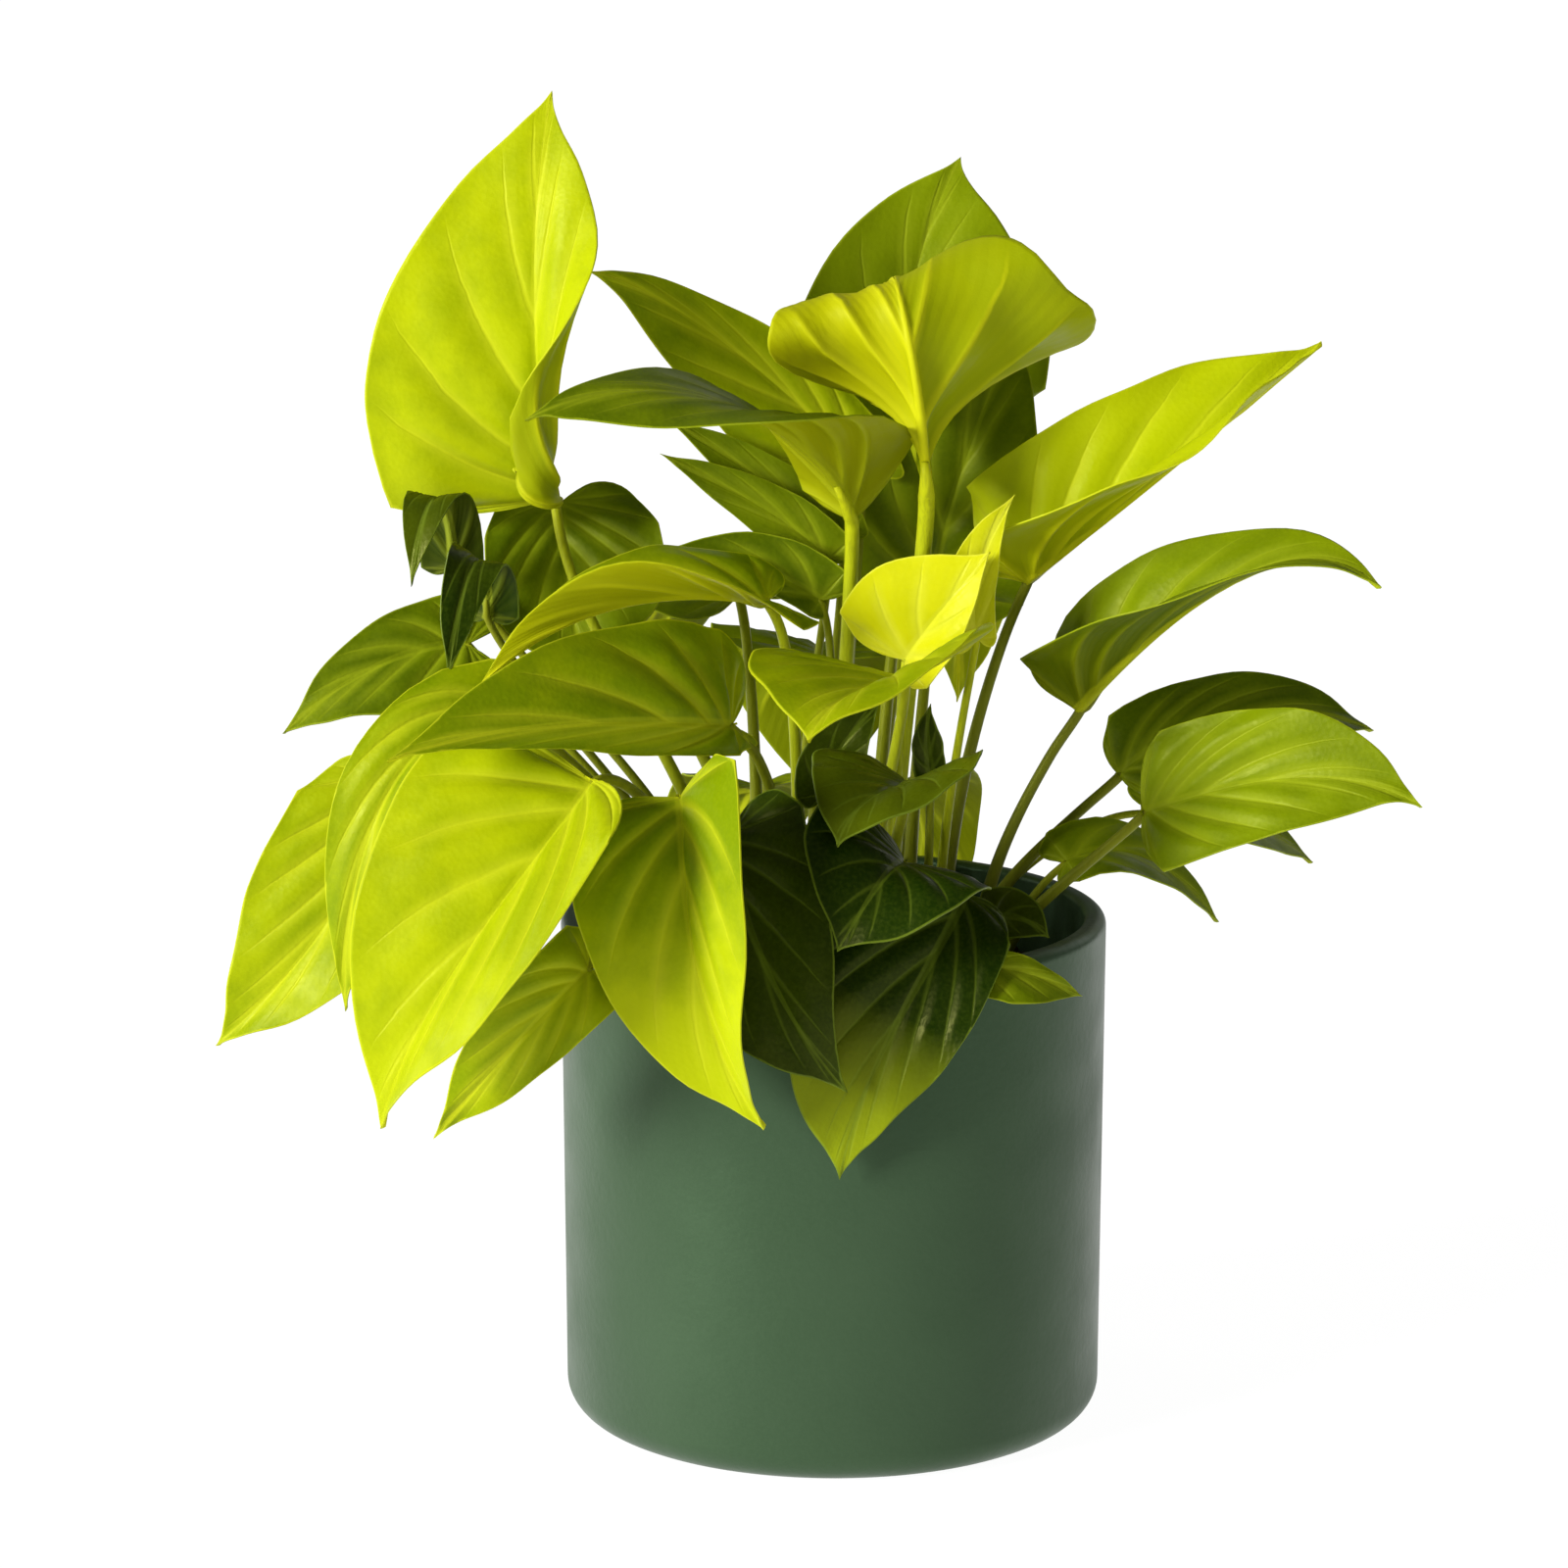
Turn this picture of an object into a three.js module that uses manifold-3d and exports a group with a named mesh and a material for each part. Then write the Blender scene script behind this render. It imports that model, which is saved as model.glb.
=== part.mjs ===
// A potted homalomena: a leafy aroid in a plain round ceramic pot, in millimetres, +Z up.
// The origin is on the surface that the pot stands on, under the pot's centre. -Y is the front.
// Each leaf is one grown piece, a heart-shaped blade and the stalk that carries it out of the soil.

import * as THREE from "three";
import { mergeVertices } from "three/addons/utils/BufferGeometryUtils.js";
import Module from "manifold-3d";

const wasm = await Module();
wasm.setup();

// Driving dimensions
const POT_RADIUS = 80;
const POT_FOOT_RADIUS = 79.2;
const POT_HEIGHT = 150;
const POT_WALL = 6.5;
const POT_FLOOR = 9;
const POT_SIDES = 48;
const RIM_ROUND = 3.2;
const BASE_ROUND = 9;
const SEAT_GAP = 0.3;

const SOIL_EDGE_DEPTH = 24;
const SOIL_MOUND = 5;
const SOIL_SIDES = 32;
const HOLE_DEPTH = 10;
const HOLE_PLAY = 0.7;
const HOLE_SIDES = 5;

const BLADE_ROWS = 9;
const BLADE_COLUMNS = 3;
const SMALL_ROWS = 7;
const SMALL_COLUMNS = 2;
const BLADE_THICKNESS = 0.8;
const RIB_DEPTH = 1.1;
const STALK_FOOT_RADIUS = 2.4;
const STALK_NECK_RADIUS = 1.5;
const STALK_SIDES = 5;
const STALK_STEPS = 6;

// Half the outline of a blade, from the notch at the stalk round the lobe to the tip. Each point is
// [share of the half width, share of the length, where its side vein leaves the rib]. Negative
// lengths are behind the stalk, in shares of the lobe's depth.
const OUTLINE = [
  [0.0, 0.0, 0.0],
  [0.3, -0.82, 0.0],
  [0.62, -1.0, 0.0],
  [0.9, -0.25, 0.0],
  [1.0, 0.17, 0.03],
  [0.95, 0.36, 0.1],
  [0.76, 0.56, 0.26],
  [0.46, 0.75, 0.48],
  [0.19, 0.88, 0.7],
  [0.06, 0.95, 0.87],
  [0.0, 1.0, 1.0],
];
const VEIN_REACH = 0.62;
const VEIN_RISE = 0.3;

const radians = (degrees) => (degrees * Math.PI) / 180;
const vector = (p) => new THREE.Vector3(...p);

// A solid from closed triangles, which need not share their corners.
function solidOf(geometry) {
  const bare = new THREE.BufferGeometry().setAttribute(
    "position",
    geometry.getAttribute("position"),
  );
  if (geometry.index) bare.setIndex(geometry.index);
  const merged = mergeVertices(bare, 1e-4);
  return new wasm.Manifold(
    new wasm.Mesh({
      numProp: 3,
      vertProperties: merged.attributes.position.array,
      triVerts: new Uint32Array(merged.index.array),
    }),
  );
}

function geometryOf(solid) {
  const mesh = solid.getMesh();
  const geometry = new THREE.BufferGeometry();
  geometry.setAttribute("position", new THREE.BufferAttribute(mesh.vertProperties, 3));
  geometry.setIndex(new THREE.BufferAttribute(mesh.triVerts, 1));
  const loose = geometry.toNonIndexed();
  loose.computeVertexNormals();
  return loose;
}

// Three values spread along a rib, at its base, middle and tip, as one smooth curve.
function along(values, u) {
  const [base, middle, tip] = values;
  return base * (1 - u) ** 2 + middle * 2 * u * (1 - u) + tip * u * u;
}

// The outline's point at a share s of the way round, through OUTLINE's points.
function outlineAt(s) {
  const last = OUTLINE.length - 1;
  const place = Math.min(Math.max(s, 0), 1) * last;
  const k = Math.min(Math.floor(place), last - 1);
  const f = place - k;
  const at = (i) => OUTLINE[Math.min(Math.max(i, 0), last)];
  return [0, 1, 2].map((c) => {
    const [p0, p1, p2, p3] = [at(k - 1)[c], at(k)[c], at(k + 1)[c], at(k + 2)[c]];
    const m1 = (p2 - p0) / 2;
    const m2 = (p3 - p1) / 2;
    const f2 = f * f;
    const f3 = f2 * f;
    return (
      (2 * f3 - 3 * f2 + 1) * p1 + (f3 - 2 * f2 + f) * m1 + (3 * f2 - 2 * f3) * p2 + (f3 - f2) * m2
    );
  });
}

// A blade's middle rib: a Bezier curve walked by its length, and the way the blade faces along it.
class Rib {
  static STEPS = 64;

  constructor(points, faces) {
    this.curve = new THREE.CubicBezierCurve3(...points.map(vector));
    this.faces = faces.map(vector);
    this.samples = [];
    this.reach = [0];
    for (let i = 0; i <= Rib.STEPS; i++) {
      this.samples.push(this.curve.getPoint(i / Rib.STEPS));
      if (i) this.reach.push(this.reach[i - 1] + this.samples[i].distanceTo(this.samples[i - 1]));
    }
    this.length = this.reach[Rib.STEPS];
  }

  // The curve's own parameter at a share u of the length.
  parameter(u) {
    const wanted = Math.min(Math.max(u, 0), 1) * this.length;
    let k = 1;
    while (k < Rib.STEPS && this.reach[k] < wanted) k++;
    const step = this.reach[k] - this.reach[k - 1];
    return (k - 1 + (wanted - this.reach[k - 1]) / step) / Rib.STEPS;
  }

  // Place, forward, sideways and face directions at a share u of the length. Behind the stalk the
  // rib runs on straight.
  frame(u) {
    const t = this.parameter(u);
    const forward = this.curve.getTangent(t);
    const place = this.curve.getPoint(t);
    if (u < 0) place.addScaledVector(forward, u * this.length);
    const face = this.faces[0].clone().lerp(this.faces[1], Math.min(Math.max(u, 0), 1));
    face.addScaledVector(forward, -face.dot(forward)).normalize();
    const side = new THREE.Vector3().crossVectors(forward, face);
    return { place, forward, side, face };
  }
}

// The middle surface of a blade: points by row and column on each side of the rib. A row is one
// side vein, from the rib (column 0) to the edge. Its last row is the tip alone.
function bladeSheet(leaf, rib, rows, columns) {
  const points = [];
  const depth = [];
  const seen = new Map();
  const add = (key, point, ribDepth) => {
    if (!seen.has(key)) {
      seen.set(key, points.length);
      points.push(point);
      depth.push(ribDepth);
    }
    return seen.get(key);
  };
  const grid = {};
  for (const [sideName, sign] of [["left", -1], ["right", 1]]) {
    const { width, fold, curl, slant } = leaf[sideName];
    grid[sideName] = [];
    for (let i = 1; i <= rows; i++) {
      const s = i / rows;
      const [across, forward, start] = outlineAt(s);
      const edgeX = across * width;
      const reach = forward < 0 ? forward * leaf.lobe : forward * rib.length;
      const edgeY = Math.min(reach + slant * across, rib.length);
      const startY = start * rib.length;
      const row = [];
      for (let j = 0; j <= columns; j++) {
        const t = j / columns;
        const mix = 2 * t * (1 - t);
        const x = mix * VEIN_REACH * edgeX + t * t * edgeX;
        const bendY = startY + VEIN_RISE * (edgeY - startY);
        const y = (1 - t) ** 2 * startY + mix * bendY + t * t * edgeY;
        const u = y / rib.length;
        const near = Math.min(Math.max(u, 0), 1);
        const first = radians(along(fold, near));
        const turn = radians(along(curl, near)) / width || 1e-6;
        const bend = Math.abs(turn) < 1e-6 ? 1e-6 : turn;
        const out = (Math.sin(first + bend * x) - Math.sin(first)) / bend;
        const rise = (Math.cos(first) - Math.cos(first + bend * x)) / bend;
        const f = rib.frame(u);
        const point = f.place.addScaledVector(f.side, sign * out).addScaledVector(f.face, rise);
        const key = j === 0 || i === rows ? `rib ${start.toFixed(6)}` : `${sideName} ${i} ${j}`;
        row.push(add(key, point, j === 0 ? RIB_DEPTH * leaf.size * (1 - near) ** 0.7 : 0));
      }
      grid[sideName].push(row);
    }
  }
  return { points, depth, grid };
}

// A blade as a thin closed solid: the sheet's two faces, split into triangles alike, and its edge.
function bladeSolid(leaf, rib) {
  const { points, depth, grid } = bladeSheet(leaf, rib, leaf.rows, leaf.columns);
  const faces = [];
  const loop = [];
  const push = (a, b, c) => {
    if (a !== b && b !== c && a !== c) faces.push([a, b, c]);
  };
  for (const [sideName, turned] of [["left", true], ["right", false]]) {
    const g = grid[sideName];
    for (let i = 0; i + 1 < g.length; i++) {
      for (let j = 0; j + 1 < g[i].length; j++) {
        const quad = [g[i][j], g[i][j + 1], g[i + 1][j + 1], g[i + 1][j]];
        const [a, b, c, d] = turned ? [quad[3], quad[2], quad[1], quad[0]] : quad;
        push(a, b, d);
        push(b, c, d);
      }
    }
    const edge = [...g[0], ...g.slice(1).map((row) => row[row.length - 1])];
    loop.push(turned ? edge.reverse() : edge);
  }
  const normals = points.map(() => new THREE.Vector3());
  for (const [a, b, c] of faces) {
    const n = new THREE.Vector3()
      .subVectors(points[b], points[a])
      .cross(new THREE.Vector3().subVectors(points[c], points[a]));
    for (const v of [a, b, c]) normals[v].add(n);
  }
  normals.forEach((n) => n.normalize());
  const half = BLADE_THICKNESS / 2;
  const top = points.map((p, i) => p.clone().addScaledVector(normals[i], half));
  const under = points.map((p, i) => p.clone().addScaledVector(normals[i], -half - depth[i]));
  const corners = [];
  const put = (...three) => three.forEach((p) => corners.push(p.x, p.y, p.z));
  for (const [a, b, c] of faces) {
    put(top[a], top[b], top[c]);
    put(under[a], under[c], under[b]);
  }
  for (const edge of loop) {
    for (let k = 0; k + 1 < edge.length; k++) {
      const [a, b] = [edge[k], edge[k + 1]];
      if (a === b) continue;
      put(top[a], under[a], under[b]);
      put(top[a], under[b], top[b]);
    }
  }
  const geometry = new THREE.BufferGeometry().setAttribute(
    "position",
    new THREE.Float32BufferAttribute(corners, 3),
  );
  return solidOf(geometry);
}

// A round tube through a list of points, with a radius at each, closed at both ends.
function tubeSolid(path, radii, sides) {
  const rings = [];
  let across = null;
  path.forEach((p, i) => {
    const before = path[Math.max(i - 1, 0)];
    const after = path[Math.min(i + 1, path.length - 1)];
    const forward = after.clone().sub(before).normalize();
    if (!across) across = new THREE.Vector3(1, 0, 0);
    across = across.clone().addScaledVector(forward, -across.dot(forward)).normalize();
    const other = new THREE.Vector3().crossVectors(forward, across);
    rings.push(
      Array.from({ length: sides }, (_, k) => {
        const angle = (2 * Math.PI * k) / sides;
        return p
          .clone()
          .addScaledVector(across, radii[i] * Math.cos(angle))
          .addScaledVector(other, radii[i] * Math.sin(angle));
      }),
    );
  });
  const corners = [];
  const put = (...three) => three.forEach((p) => corners.push(p.x, p.y, p.z));
  for (let i = 0; i + 1 < rings.length; i++) {
    for (let k = 0; k < sides; k++) {
      const next = (k + 1) % sides;
      put(rings[i][k], rings[i][next], rings[i + 1][next]);
      put(rings[i][k], rings[i + 1][next], rings[i + 1][k]);
    }
  }
  const [first, last] = [rings[0], rings[rings.length - 1]];
  for (let k = 1; k + 1 < sides; k++) {
    put(first[0], first[k + 1], first[k]);
    put(last[0], last[k], last[k + 1]);
  }
  const geometry = new THREE.BufferGeometry().setAttribute(
    "position",
    new THREE.Float32BufferAttribute(corners, 3),
  );
  return solidOf(geometry);
}

const soilTop = (x, y) => {
  const share = Math.hypot(x, y) / (POT_RADIUS - POT_WALL);
  return POT_HEIGHT - SOIL_EDGE_DEPTH + SOIL_MOUND * (1 - share * share);
};

// The line of a leaf's stalk: out of its hole in the soil, up and over to the blade, and a little
// way along the rib under it.
function stalkLine(leaf, rib) {
  const [x, y] = leaf.root;
  const foot = new THREE.Vector3(x, y, soilTop(x, y) - HOLE_DEPTH);
  const collar = new THREE.Vector3(x, y, soilTop(x, y) + 1);
  const head = rib.frame(0).place;
  const climb = (head.z - collar.z) * 0.4;
  const curve = new THREE.CubicBezierCurve3(
    collar,
    collar.clone().add(new THREE.Vector3(0, 0, Math.max(climb, 14))),
    vector(leaf.bend),
    head,
  );
  const path = curve.getPoints(STALK_STEPS);
  const neck = leaf.neck * leaf.size;
  const radii = path.map((_, i) => {
    const share = i / STALK_STEPS;
    return neck + (STALK_FOOT_RADIUS * leaf.size - neck) * (1 - share) ** 2;
  });
  path[STALK_STEPS].addScaledVector(rib.frame(0).face, -neck * 0.6);
  for (const [u, share] of [[0.04, 0.85], [0.11, 0.45]]) {
    const f = rib.frame(u);
    const radius = neck * share;
    path.push(f.place.addScaledVector(f.face, -radius - BLADE_THICKNESS * 0.4));
    radii.push(radius);
  }
  return { path: [foot, ...path], radii: [radii[0], ...radii] };
}

const SIDE = { fold: [12, 12, 6], curl: [0, 0, 0], slant: 0 };
const LEAF = {
  tint: "lime",
  lobe: 10,
  size: 1,
  neck: STALK_NECK_RADIUS,
  rows: BLADE_ROWS,
  columns: BLADE_COLUMNS,
};
const SMALL = { size: 0.75, rows: SMALL_ROWS, columns: SMALL_COLUMNS };
const leaves = [];

function leaf(name, options) {
  const { width, left, right, ...rest } = options;
  leaves.push({
    name,
    ...LEAF,
    ...rest,
    left: { ...SIDE, width: width[0], ...left },
    right: { ...SIDE, width: width[1], ...right },
  });
}

// The leaves, by where they stand as seen from the front
leaf("leaf_tall_left", {
  root: [-30, -2], bend: [-78, -8, 230],
  rib: [[-81, 6, 271], [-86, -8, 298], [-89, -6, 349], [-81, 14, 388]],
  face: [[-0.2, -1, 0.1], [-0.1, -1, 0.3]], width: [50, 27], lobe: 3,
  left: { fold: [6, 6, 0], slant: 3 },
  right: { fold: [30, 0, 10], curl: [330, -10, 0], slant: 14 },
});
leaf("leaf_back_left", {
  tint: "green",
  root: [-22, 20], bend: [-72, 28, 240],
  rib: [[-80, 28, 267], [-80, 20, 255], [-77, 12, 239], [-73, 6, 219]],
  face: [[0.1, -1, 0.35], [0, -1, 0.3]], width: [30, 25], lobe: 11,
  left: { slant: 12 }, right: { fold: [15, 15, 10], slant: 13 },
});
leaf("leaf_rolled_left_upper", {
  tint: "dark",
  root: [-34, 5], bend: [-92, -16, 224],
  rib: [[-110, -4, 252], [-110, -10, 280], [-116, -28, 286], [-120, -34, 252]],
  face: [[0, 0.8, 0.6], [-0.1, -1, 0.2]], width: [9, 10], lobe: 2, ...SMALL,
});
leaf("leaf_rolled_left_lower", {
  tint: "dark",
  root: [-38, -10], bend: [-88, -28, 215],
  rib: [[-98, -38, 244], [-98, -42, 270], [-103, -58, 270], [-108, -64, 231]],
  face: [[0.3, 0.8, 0.6], [0.1, -1, 0.1]], width: [9, 9], lobe: 2, ...SMALL,
});
leaf("leaf_far_left", {
  tint: "green",
  root: [-42, 0], bend: [-86, -2, 205],
  rib: [[-106, -4, 230], [-125, -10, 231], [-143, -14, 221], [-159, -16, 206]],
  face: [[0, -1, 0.6], [0, -1, 0.6]], width: [19, 15], lobe: 8,
  right: { slant: -8 },
});
leaf("leaf_arching_left", {
  root: [-10, -8], bend: [-10, -8, 232],
  rib: [[-19, -16, 245], [-39, -32, 251], [-72, -54, 256], [-99, -68, 230]],
  face: [[0, -0.6, 0.8], [0, -0.5, 0.9]], width: [20, 20],
  left: { fold: [15, 75, 150] }, right: { fold: [8, 0, 0] },
});
leaf("leaf_upper_centre_left", {
  tint: "green",
  root: [0, -2], bend: [6, -6, 250],
  rib: [[5, -10, 268], [-1, -25, 296], [-47, -50, 323], [-86, -60, 303]],
  face: [[0, 0.6, 0.6], [0, -0.5, 0.8]], width: [26, 24], neck: 2.1, lobe: 3,
  left: { fold: [45, -35, -20], slant: 12 }, right: { fold: [50, 10, 5] },
});
leaf("leaf_upper_back_left", {
  tint: "green",
  root: [0, 20], bend: [9, 20, 256],
  rib: [[8, 22, 278], [-14, 22, 302], [-50, 15, 333], [-70, -12, 339]],
  face: [[0, -1, 0.2], [0, -1, 0.3]], width: [22, 13],
});
leaf("leaf_under_centre_left", {
  tint: "green",
  root: [-5, 10], bend: [3, 14, 240],
  rib: [[3, 15, 258], [-14, 12, 271], [-32, 7, 285], [-49, -1, 296]],
  face: [[0, -1, 0.3], [0, -1, 0.5]], width: [9, 9], lobe: 5, ...SMALL,
});
leaf("leaf_under_low_left", {
  tint: "green",
  root: [-13, 1], bend: [-2, 7, 236],
  rib: [[-1, 8, 253], [-16, 8, 267], [-33, 3, 276], [-50, -6, 286]],
  face: [[0, -1, 0.2], [0, -1, 0.3]], width: [8, 9], lobe: 5, ...SMALL,
});
leaf("leaf_centre_heart", {
  root: [16, -12], bend: [27, -13, 256],
  rib: [[26, -20, 277], [25, -36, 310], [13, -36, 358], [18, 10, 326]],
  face: [[0, 1, 0.2], [0, -0.7, -0.7]], width: [61, 39], lobe: 3, neck: 2.4,
  left: { fold: [98, -20, -42], slant: 5 },
  right: { fold: [105, -15, 24], slant: 27 },
});
leaf("leaf_top_back", {
  tint: "green",
  root: [12, 27], bend: [24, 56, 262],
  rib: [[24, 52, 281], [18, 46, 306], [22, 50, 338], [38, 62, 365]],
  face: [[0, -1, 0.3], [0, -1, 0.3]], width: [36, 43],
  right: { slant: 16 },
});
leaf("leaf_dark_back_right", {
  tint: "dark",
  root: [22, 13], bend: [29, 34, 225],
  rib: [[30, 36, 240], [31, 23, 262], [42, 24, 290], [55, 36, 320]],
  face: [[0, -1, 0.3], [0, -1, 0.3]], width: [29, 28],
});
leaf("leaf_right_upper", {
  root: [32, 4], bend: [46, 2, 225],
  rib: [[56, 0, 248], [73, -10, 264], [107, -8, 291], [141, 12, 316]],
  face: [[-0.1, -1, 0.35], [0, -1, 0.4]], width: [32, 26], lobe: 6,
  left: { fold: [5, 5, 0], slant: 2 }, right: { fold: [126, 68, 80], slant: 6 },
});
leaf("leaf_right_middle", {
  tint: "green",
  root: [42, -2], bend: [58, -3, 188],
  rib: [[71, -4, 211], [86, -22, 233], [128, -22, 276], [155, -30, 251]],
  face: [[-0.3, -0.6, 0.7], [0, -0.6, 0.8]], width: [25, 24], lobe: 3,
  left: { fold: [12, 12, 5], slant: -2 }, right: { fold: [118, 48, 20], slant: 3 },
});
leaf("leaf_right_back", {
  tint: "green",
  root: [42, 16], bend: [68, 24, 168],
  rib: [[85, 26, 185], [100, 22, 201], [134, 34, 210], [163, 48, 194]],
  face: [[0, -0.8, 0.8], [0, -0.8, 0.8]], width: [16, 20], lobe: 3,
  left: { slant: 8 }, right: { slant: 11 },
});
leaf("leaf_right_front", {
  root: [48, -12], bend: [72, -18, 164],
  rib: [[89, -22, 184], [109, -34, 194], [140, -46, 207], [165, -56, 193]],
  face: [[0, -1, 0.6], [0, -1, 0.6]], width: [22, 21], lobe: 3,
  left: { fold: [12, 12, 20], slant: 12 }, right: { slant: 6 },
});
leaf("leaf_right_low", {
  tint: "green",
  root: [50, 4], bend: [60, 3, 156],
  rib: [[68, 2, 164], [79, 4, 170], [97, 12, 167], [115, 22, 141]],
  face: [[0, -0.6, 1], [0, -0.6, 1]], width: [12, 12], lobe: 5, ...SMALL,
});
leaf("leaf_right_far_low", {
  tint: "green",
  root: [40, 28], bend: [76, 36, 174],
  rib: [[97, 38, 171], [113, 44, 171], [131, 54, 165], [147, 62, 150]],
  face: [[0, -0.6, 1], [0, -0.6, 1]], width: [16, 16], lobe: 6, ...SMALL,
});
leaf("leaf_yellow_centre", {
  tint: "yellow",
  root: [18, -20], bend: [18, -18, 210],
  rib: [[20, -18, 228], [27, -24, 240], [37, -27, 252], [44, -27, 261]],
  face: [[-0.4, -1, 0.2], [-0.4, -1, 0.2]], width: [24, 12], lobe: 4, ...SMALL,
});
leaf("leaf_spear", {
  tint: "yellow",
  root: [30, -6], bend: [38, -15, 216],
  rib: [[41, -17, 234], [38, -21, 250], [43, -24, 265], [51, -25, 277]],
  face: [[0, -1, 0.2], [0, -1, 0.2]], width: [10, 6], lobe: 3, ...SMALL,
});
leaf("leaf_centre_front", {
  tint: "green",
  root: [8, -27], bend: [20, -32, 210],
  rib: [[20, -37, 226], [11, -58, 229], [-2, -82, 231], [-8, -92, 219]],
  face: [[0, -0.25, 1], [0, -0.5, 1]], width: [30, 34], lobe: 11,
  left: { fold: [42, 32, 10], slant: -4 }, right: { fold: [2, 6, 4], slant: 14 },
});
leaf("leaf_small_centre_front", {
  tint: "green",
  root: [10, -38], bend: [20, -52, 188],
  rib: [[20, -62, 201], [14, -78, 203], [4, -92, 203], [0, -98, 191]],
  face: [[0, -0.25, 1], [0, -0.5, 1]], width: [25, 25], lobe: 11,
  left: { fold: [30, 20, 5] }, right: { fold: [14, 8, 0] },
});
leaf("leaf_olive_inner", {
  tint: "dark",
  root: [-4, -28], bend: [-2, -24, 176],
  rib: [[-2, -22, 190], [-2, -28, 201], [5, -30, 210], [13, -26, 217]],
  face: [[0, -1, 0.2], [0, -1, 0.2]], width: [10, 10], lobe: 5, ...SMALL,
});
leaf("leaf_inner_small", {
  tint: "dark",
  root: [27, -17], bend: [28, -11, 182],
  rib: [[28, -10, 193], [27, -12, 200], [26, -13, 207], [28, -11, 214]],
  face: [[0, -1, 0.2], [0, -1, 0.2]], width: [5, 5], lobe: 3, ...SMALL,
});
leaf("leaf_big_left_flat", {
  tint: "green",
  root: [-14, -22], bend: [-14, -40, 200],
  rib: [[-29, -54, 216], [-44, -74, 221], [-89, -100, 229], [-121, -118, 219]],
  face: [[0, -1, 0.7], [0, -1, 0.7]], width: [9, 31], lobe: 10,
  left: { fold: [-20, -30, 0] }, right: { fold: [12, 6, 0], slant: -8 },
});
leaf("leaf_front_left_big", {
  root: [-29, -34], bend: [-56, -78, 213],
  rib: [[-67, -92, 208], [-79, -108, 191], [-117, -114, 152], [-125, -108, 114]],
  face: [[-0.45, -1, 0.4], [-0.4, -1, 0]], width: [33, 43], lobe: 4,
  left: { fold: [30, 25, 58], curl: [20, 20, 0], slant: 17 }, right: { fold: [15, 15, 5] },
});
leaf("leaf_left_behind_big", {
  root: [-38, -22], bend: [-74, -52, 206],
  rib: [[-91, -60, 221], [-111, -74, 229], [-138, -82, 198], [-137, -76, 139]],
  face: [[-0.4, -1, 0.4], [-0.4, -1, 0]], width: [26, 15], lobe: 6,
});
leaf("leaf_left_low", {
  root: [-47, -13], bend: [-100, -32, 180],
  rib: [[-126, -38, 199], [-130, -46, 175], [-149, -52, 146], [-177, -46, 121]],
  face: [[-0.3, -1, 0.3], [-0.2, -1, 0]], width: [26, 26],
  left: { fold: [12, 12, 35] }, right: { slant: 14 },
});
leaf("leaf_small_low_left", {
  tint: "green",
  root: [-44, -30], bend: [-60, -60, 172],
  rib: [[-69, -72, 150], [-76, -84, 146], [-95, -84, 126], [-113, -76, 102]],
  face: [[0.2, -1, 0.2], [0.2, -1, 0]], width: [13, 15], lobe: 6,
});
leaf("leaf_front_centre", {
  root: [-20, -38], bend: [-34, -66, 201],
  rib: [[-43, -85, 202], [-41, -105, 186], [-43, -109, 147], [-20, -98, 111]],
  face: [[-0.35, -1, 0.5], [-0.35, -1, 0]], width: [30, 31], lobe: 4,
  left: { fold: [39, 42, 55], slant: 5 }, right: { fold: [12, 12, 5], slant: 4 },
});
leaf("leaf_dark_front", {
  tint: "dark",
  root: [-11, -46], bend: [-26, -62, 184],
  rib: [[-30, -70, 188], [-28, -87, 172], [-17, -97, 144], [3, -96, 121]],
  face: [[-0.2, -1, 0.3], [-0.15, -1, 0]], width: [25, 24],
  right: { slant: 9 },
});
leaf("leaf_dark_heart", {
  tint: "dark",
  root: [4, -48], bend: [17, -64, 176],
  rib: [[19, -78, 182], [14, -94, 185], [8, -104, 177], [0, -104, 163]],
  face: [[0, -0.8, 0.7], [0, -0.8, 0.6]], width: [26, 28],
  right: { fold: [20, 15, 5] },
});
leaf("leaf_front_pointed", {
  tint: "dark",
  root: [20, -44], bend: [34, -56, 170],
  rib: [[36, -66, 170], [29, -86, 157], [7, -90, 130], [1, -86, 93]],
  face: [[0, -1, 0.4], [0, -1, 0]], width: [19, 30], lobe: 4,
  left: { slant: 11 }, right: { slant: 17 },
});
leaf("leaf_small_rim_right", {
  tint: "green",
  root: [32, -41], bend: [36, -64, 172],
  rib: [[40, -77, 152], [48, -81, 153], [59, -77, 149], [69, -71, 142]],
  face: [[0.2, -1, 0.6], [0.2, -1, 0.4]], width: [5, 10], lobe: 4, ...SMALL,
});
leaf("leaf_dark_rim_right", {
  tint: "dark",
  root: [43, -26], bend: [43, -32, 158],
  rib: [[45, -38, 156], [50, -44, 160], [56, -46, 158], [61, -47, 153]],
  face: [[0.2, -1, 0.6], [0.2, -1, 0.4]], width: [9, 9], lobe: 4, ...SMALL,
});
leaf("leaf_inner_ribbed", {
  tint: "green",
  root: [-6, -17], bend: [4, -3, 224],
  rib: [[-4, 1, 242], [-14, 2, 250], [-30, 1, 254], [-50, -4, 258]],
  face: [[0, -1, 0.2], [0, -1, 0.3]], width: [6, 12], lobe: 4, ...SMALL,
});
leaf("leaf_rear_centre", {
  tint: "green",
  root: [-6, 36], bend: [-4, 56, 212],
  rib: [[-4, 66, 214], [-4, 90, 220], [-4, 108, 196], [-4, 106, 158]],
  face: [[0, 0.8, 1], [0, 1, 0]], width: [34, 34],
});
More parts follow.
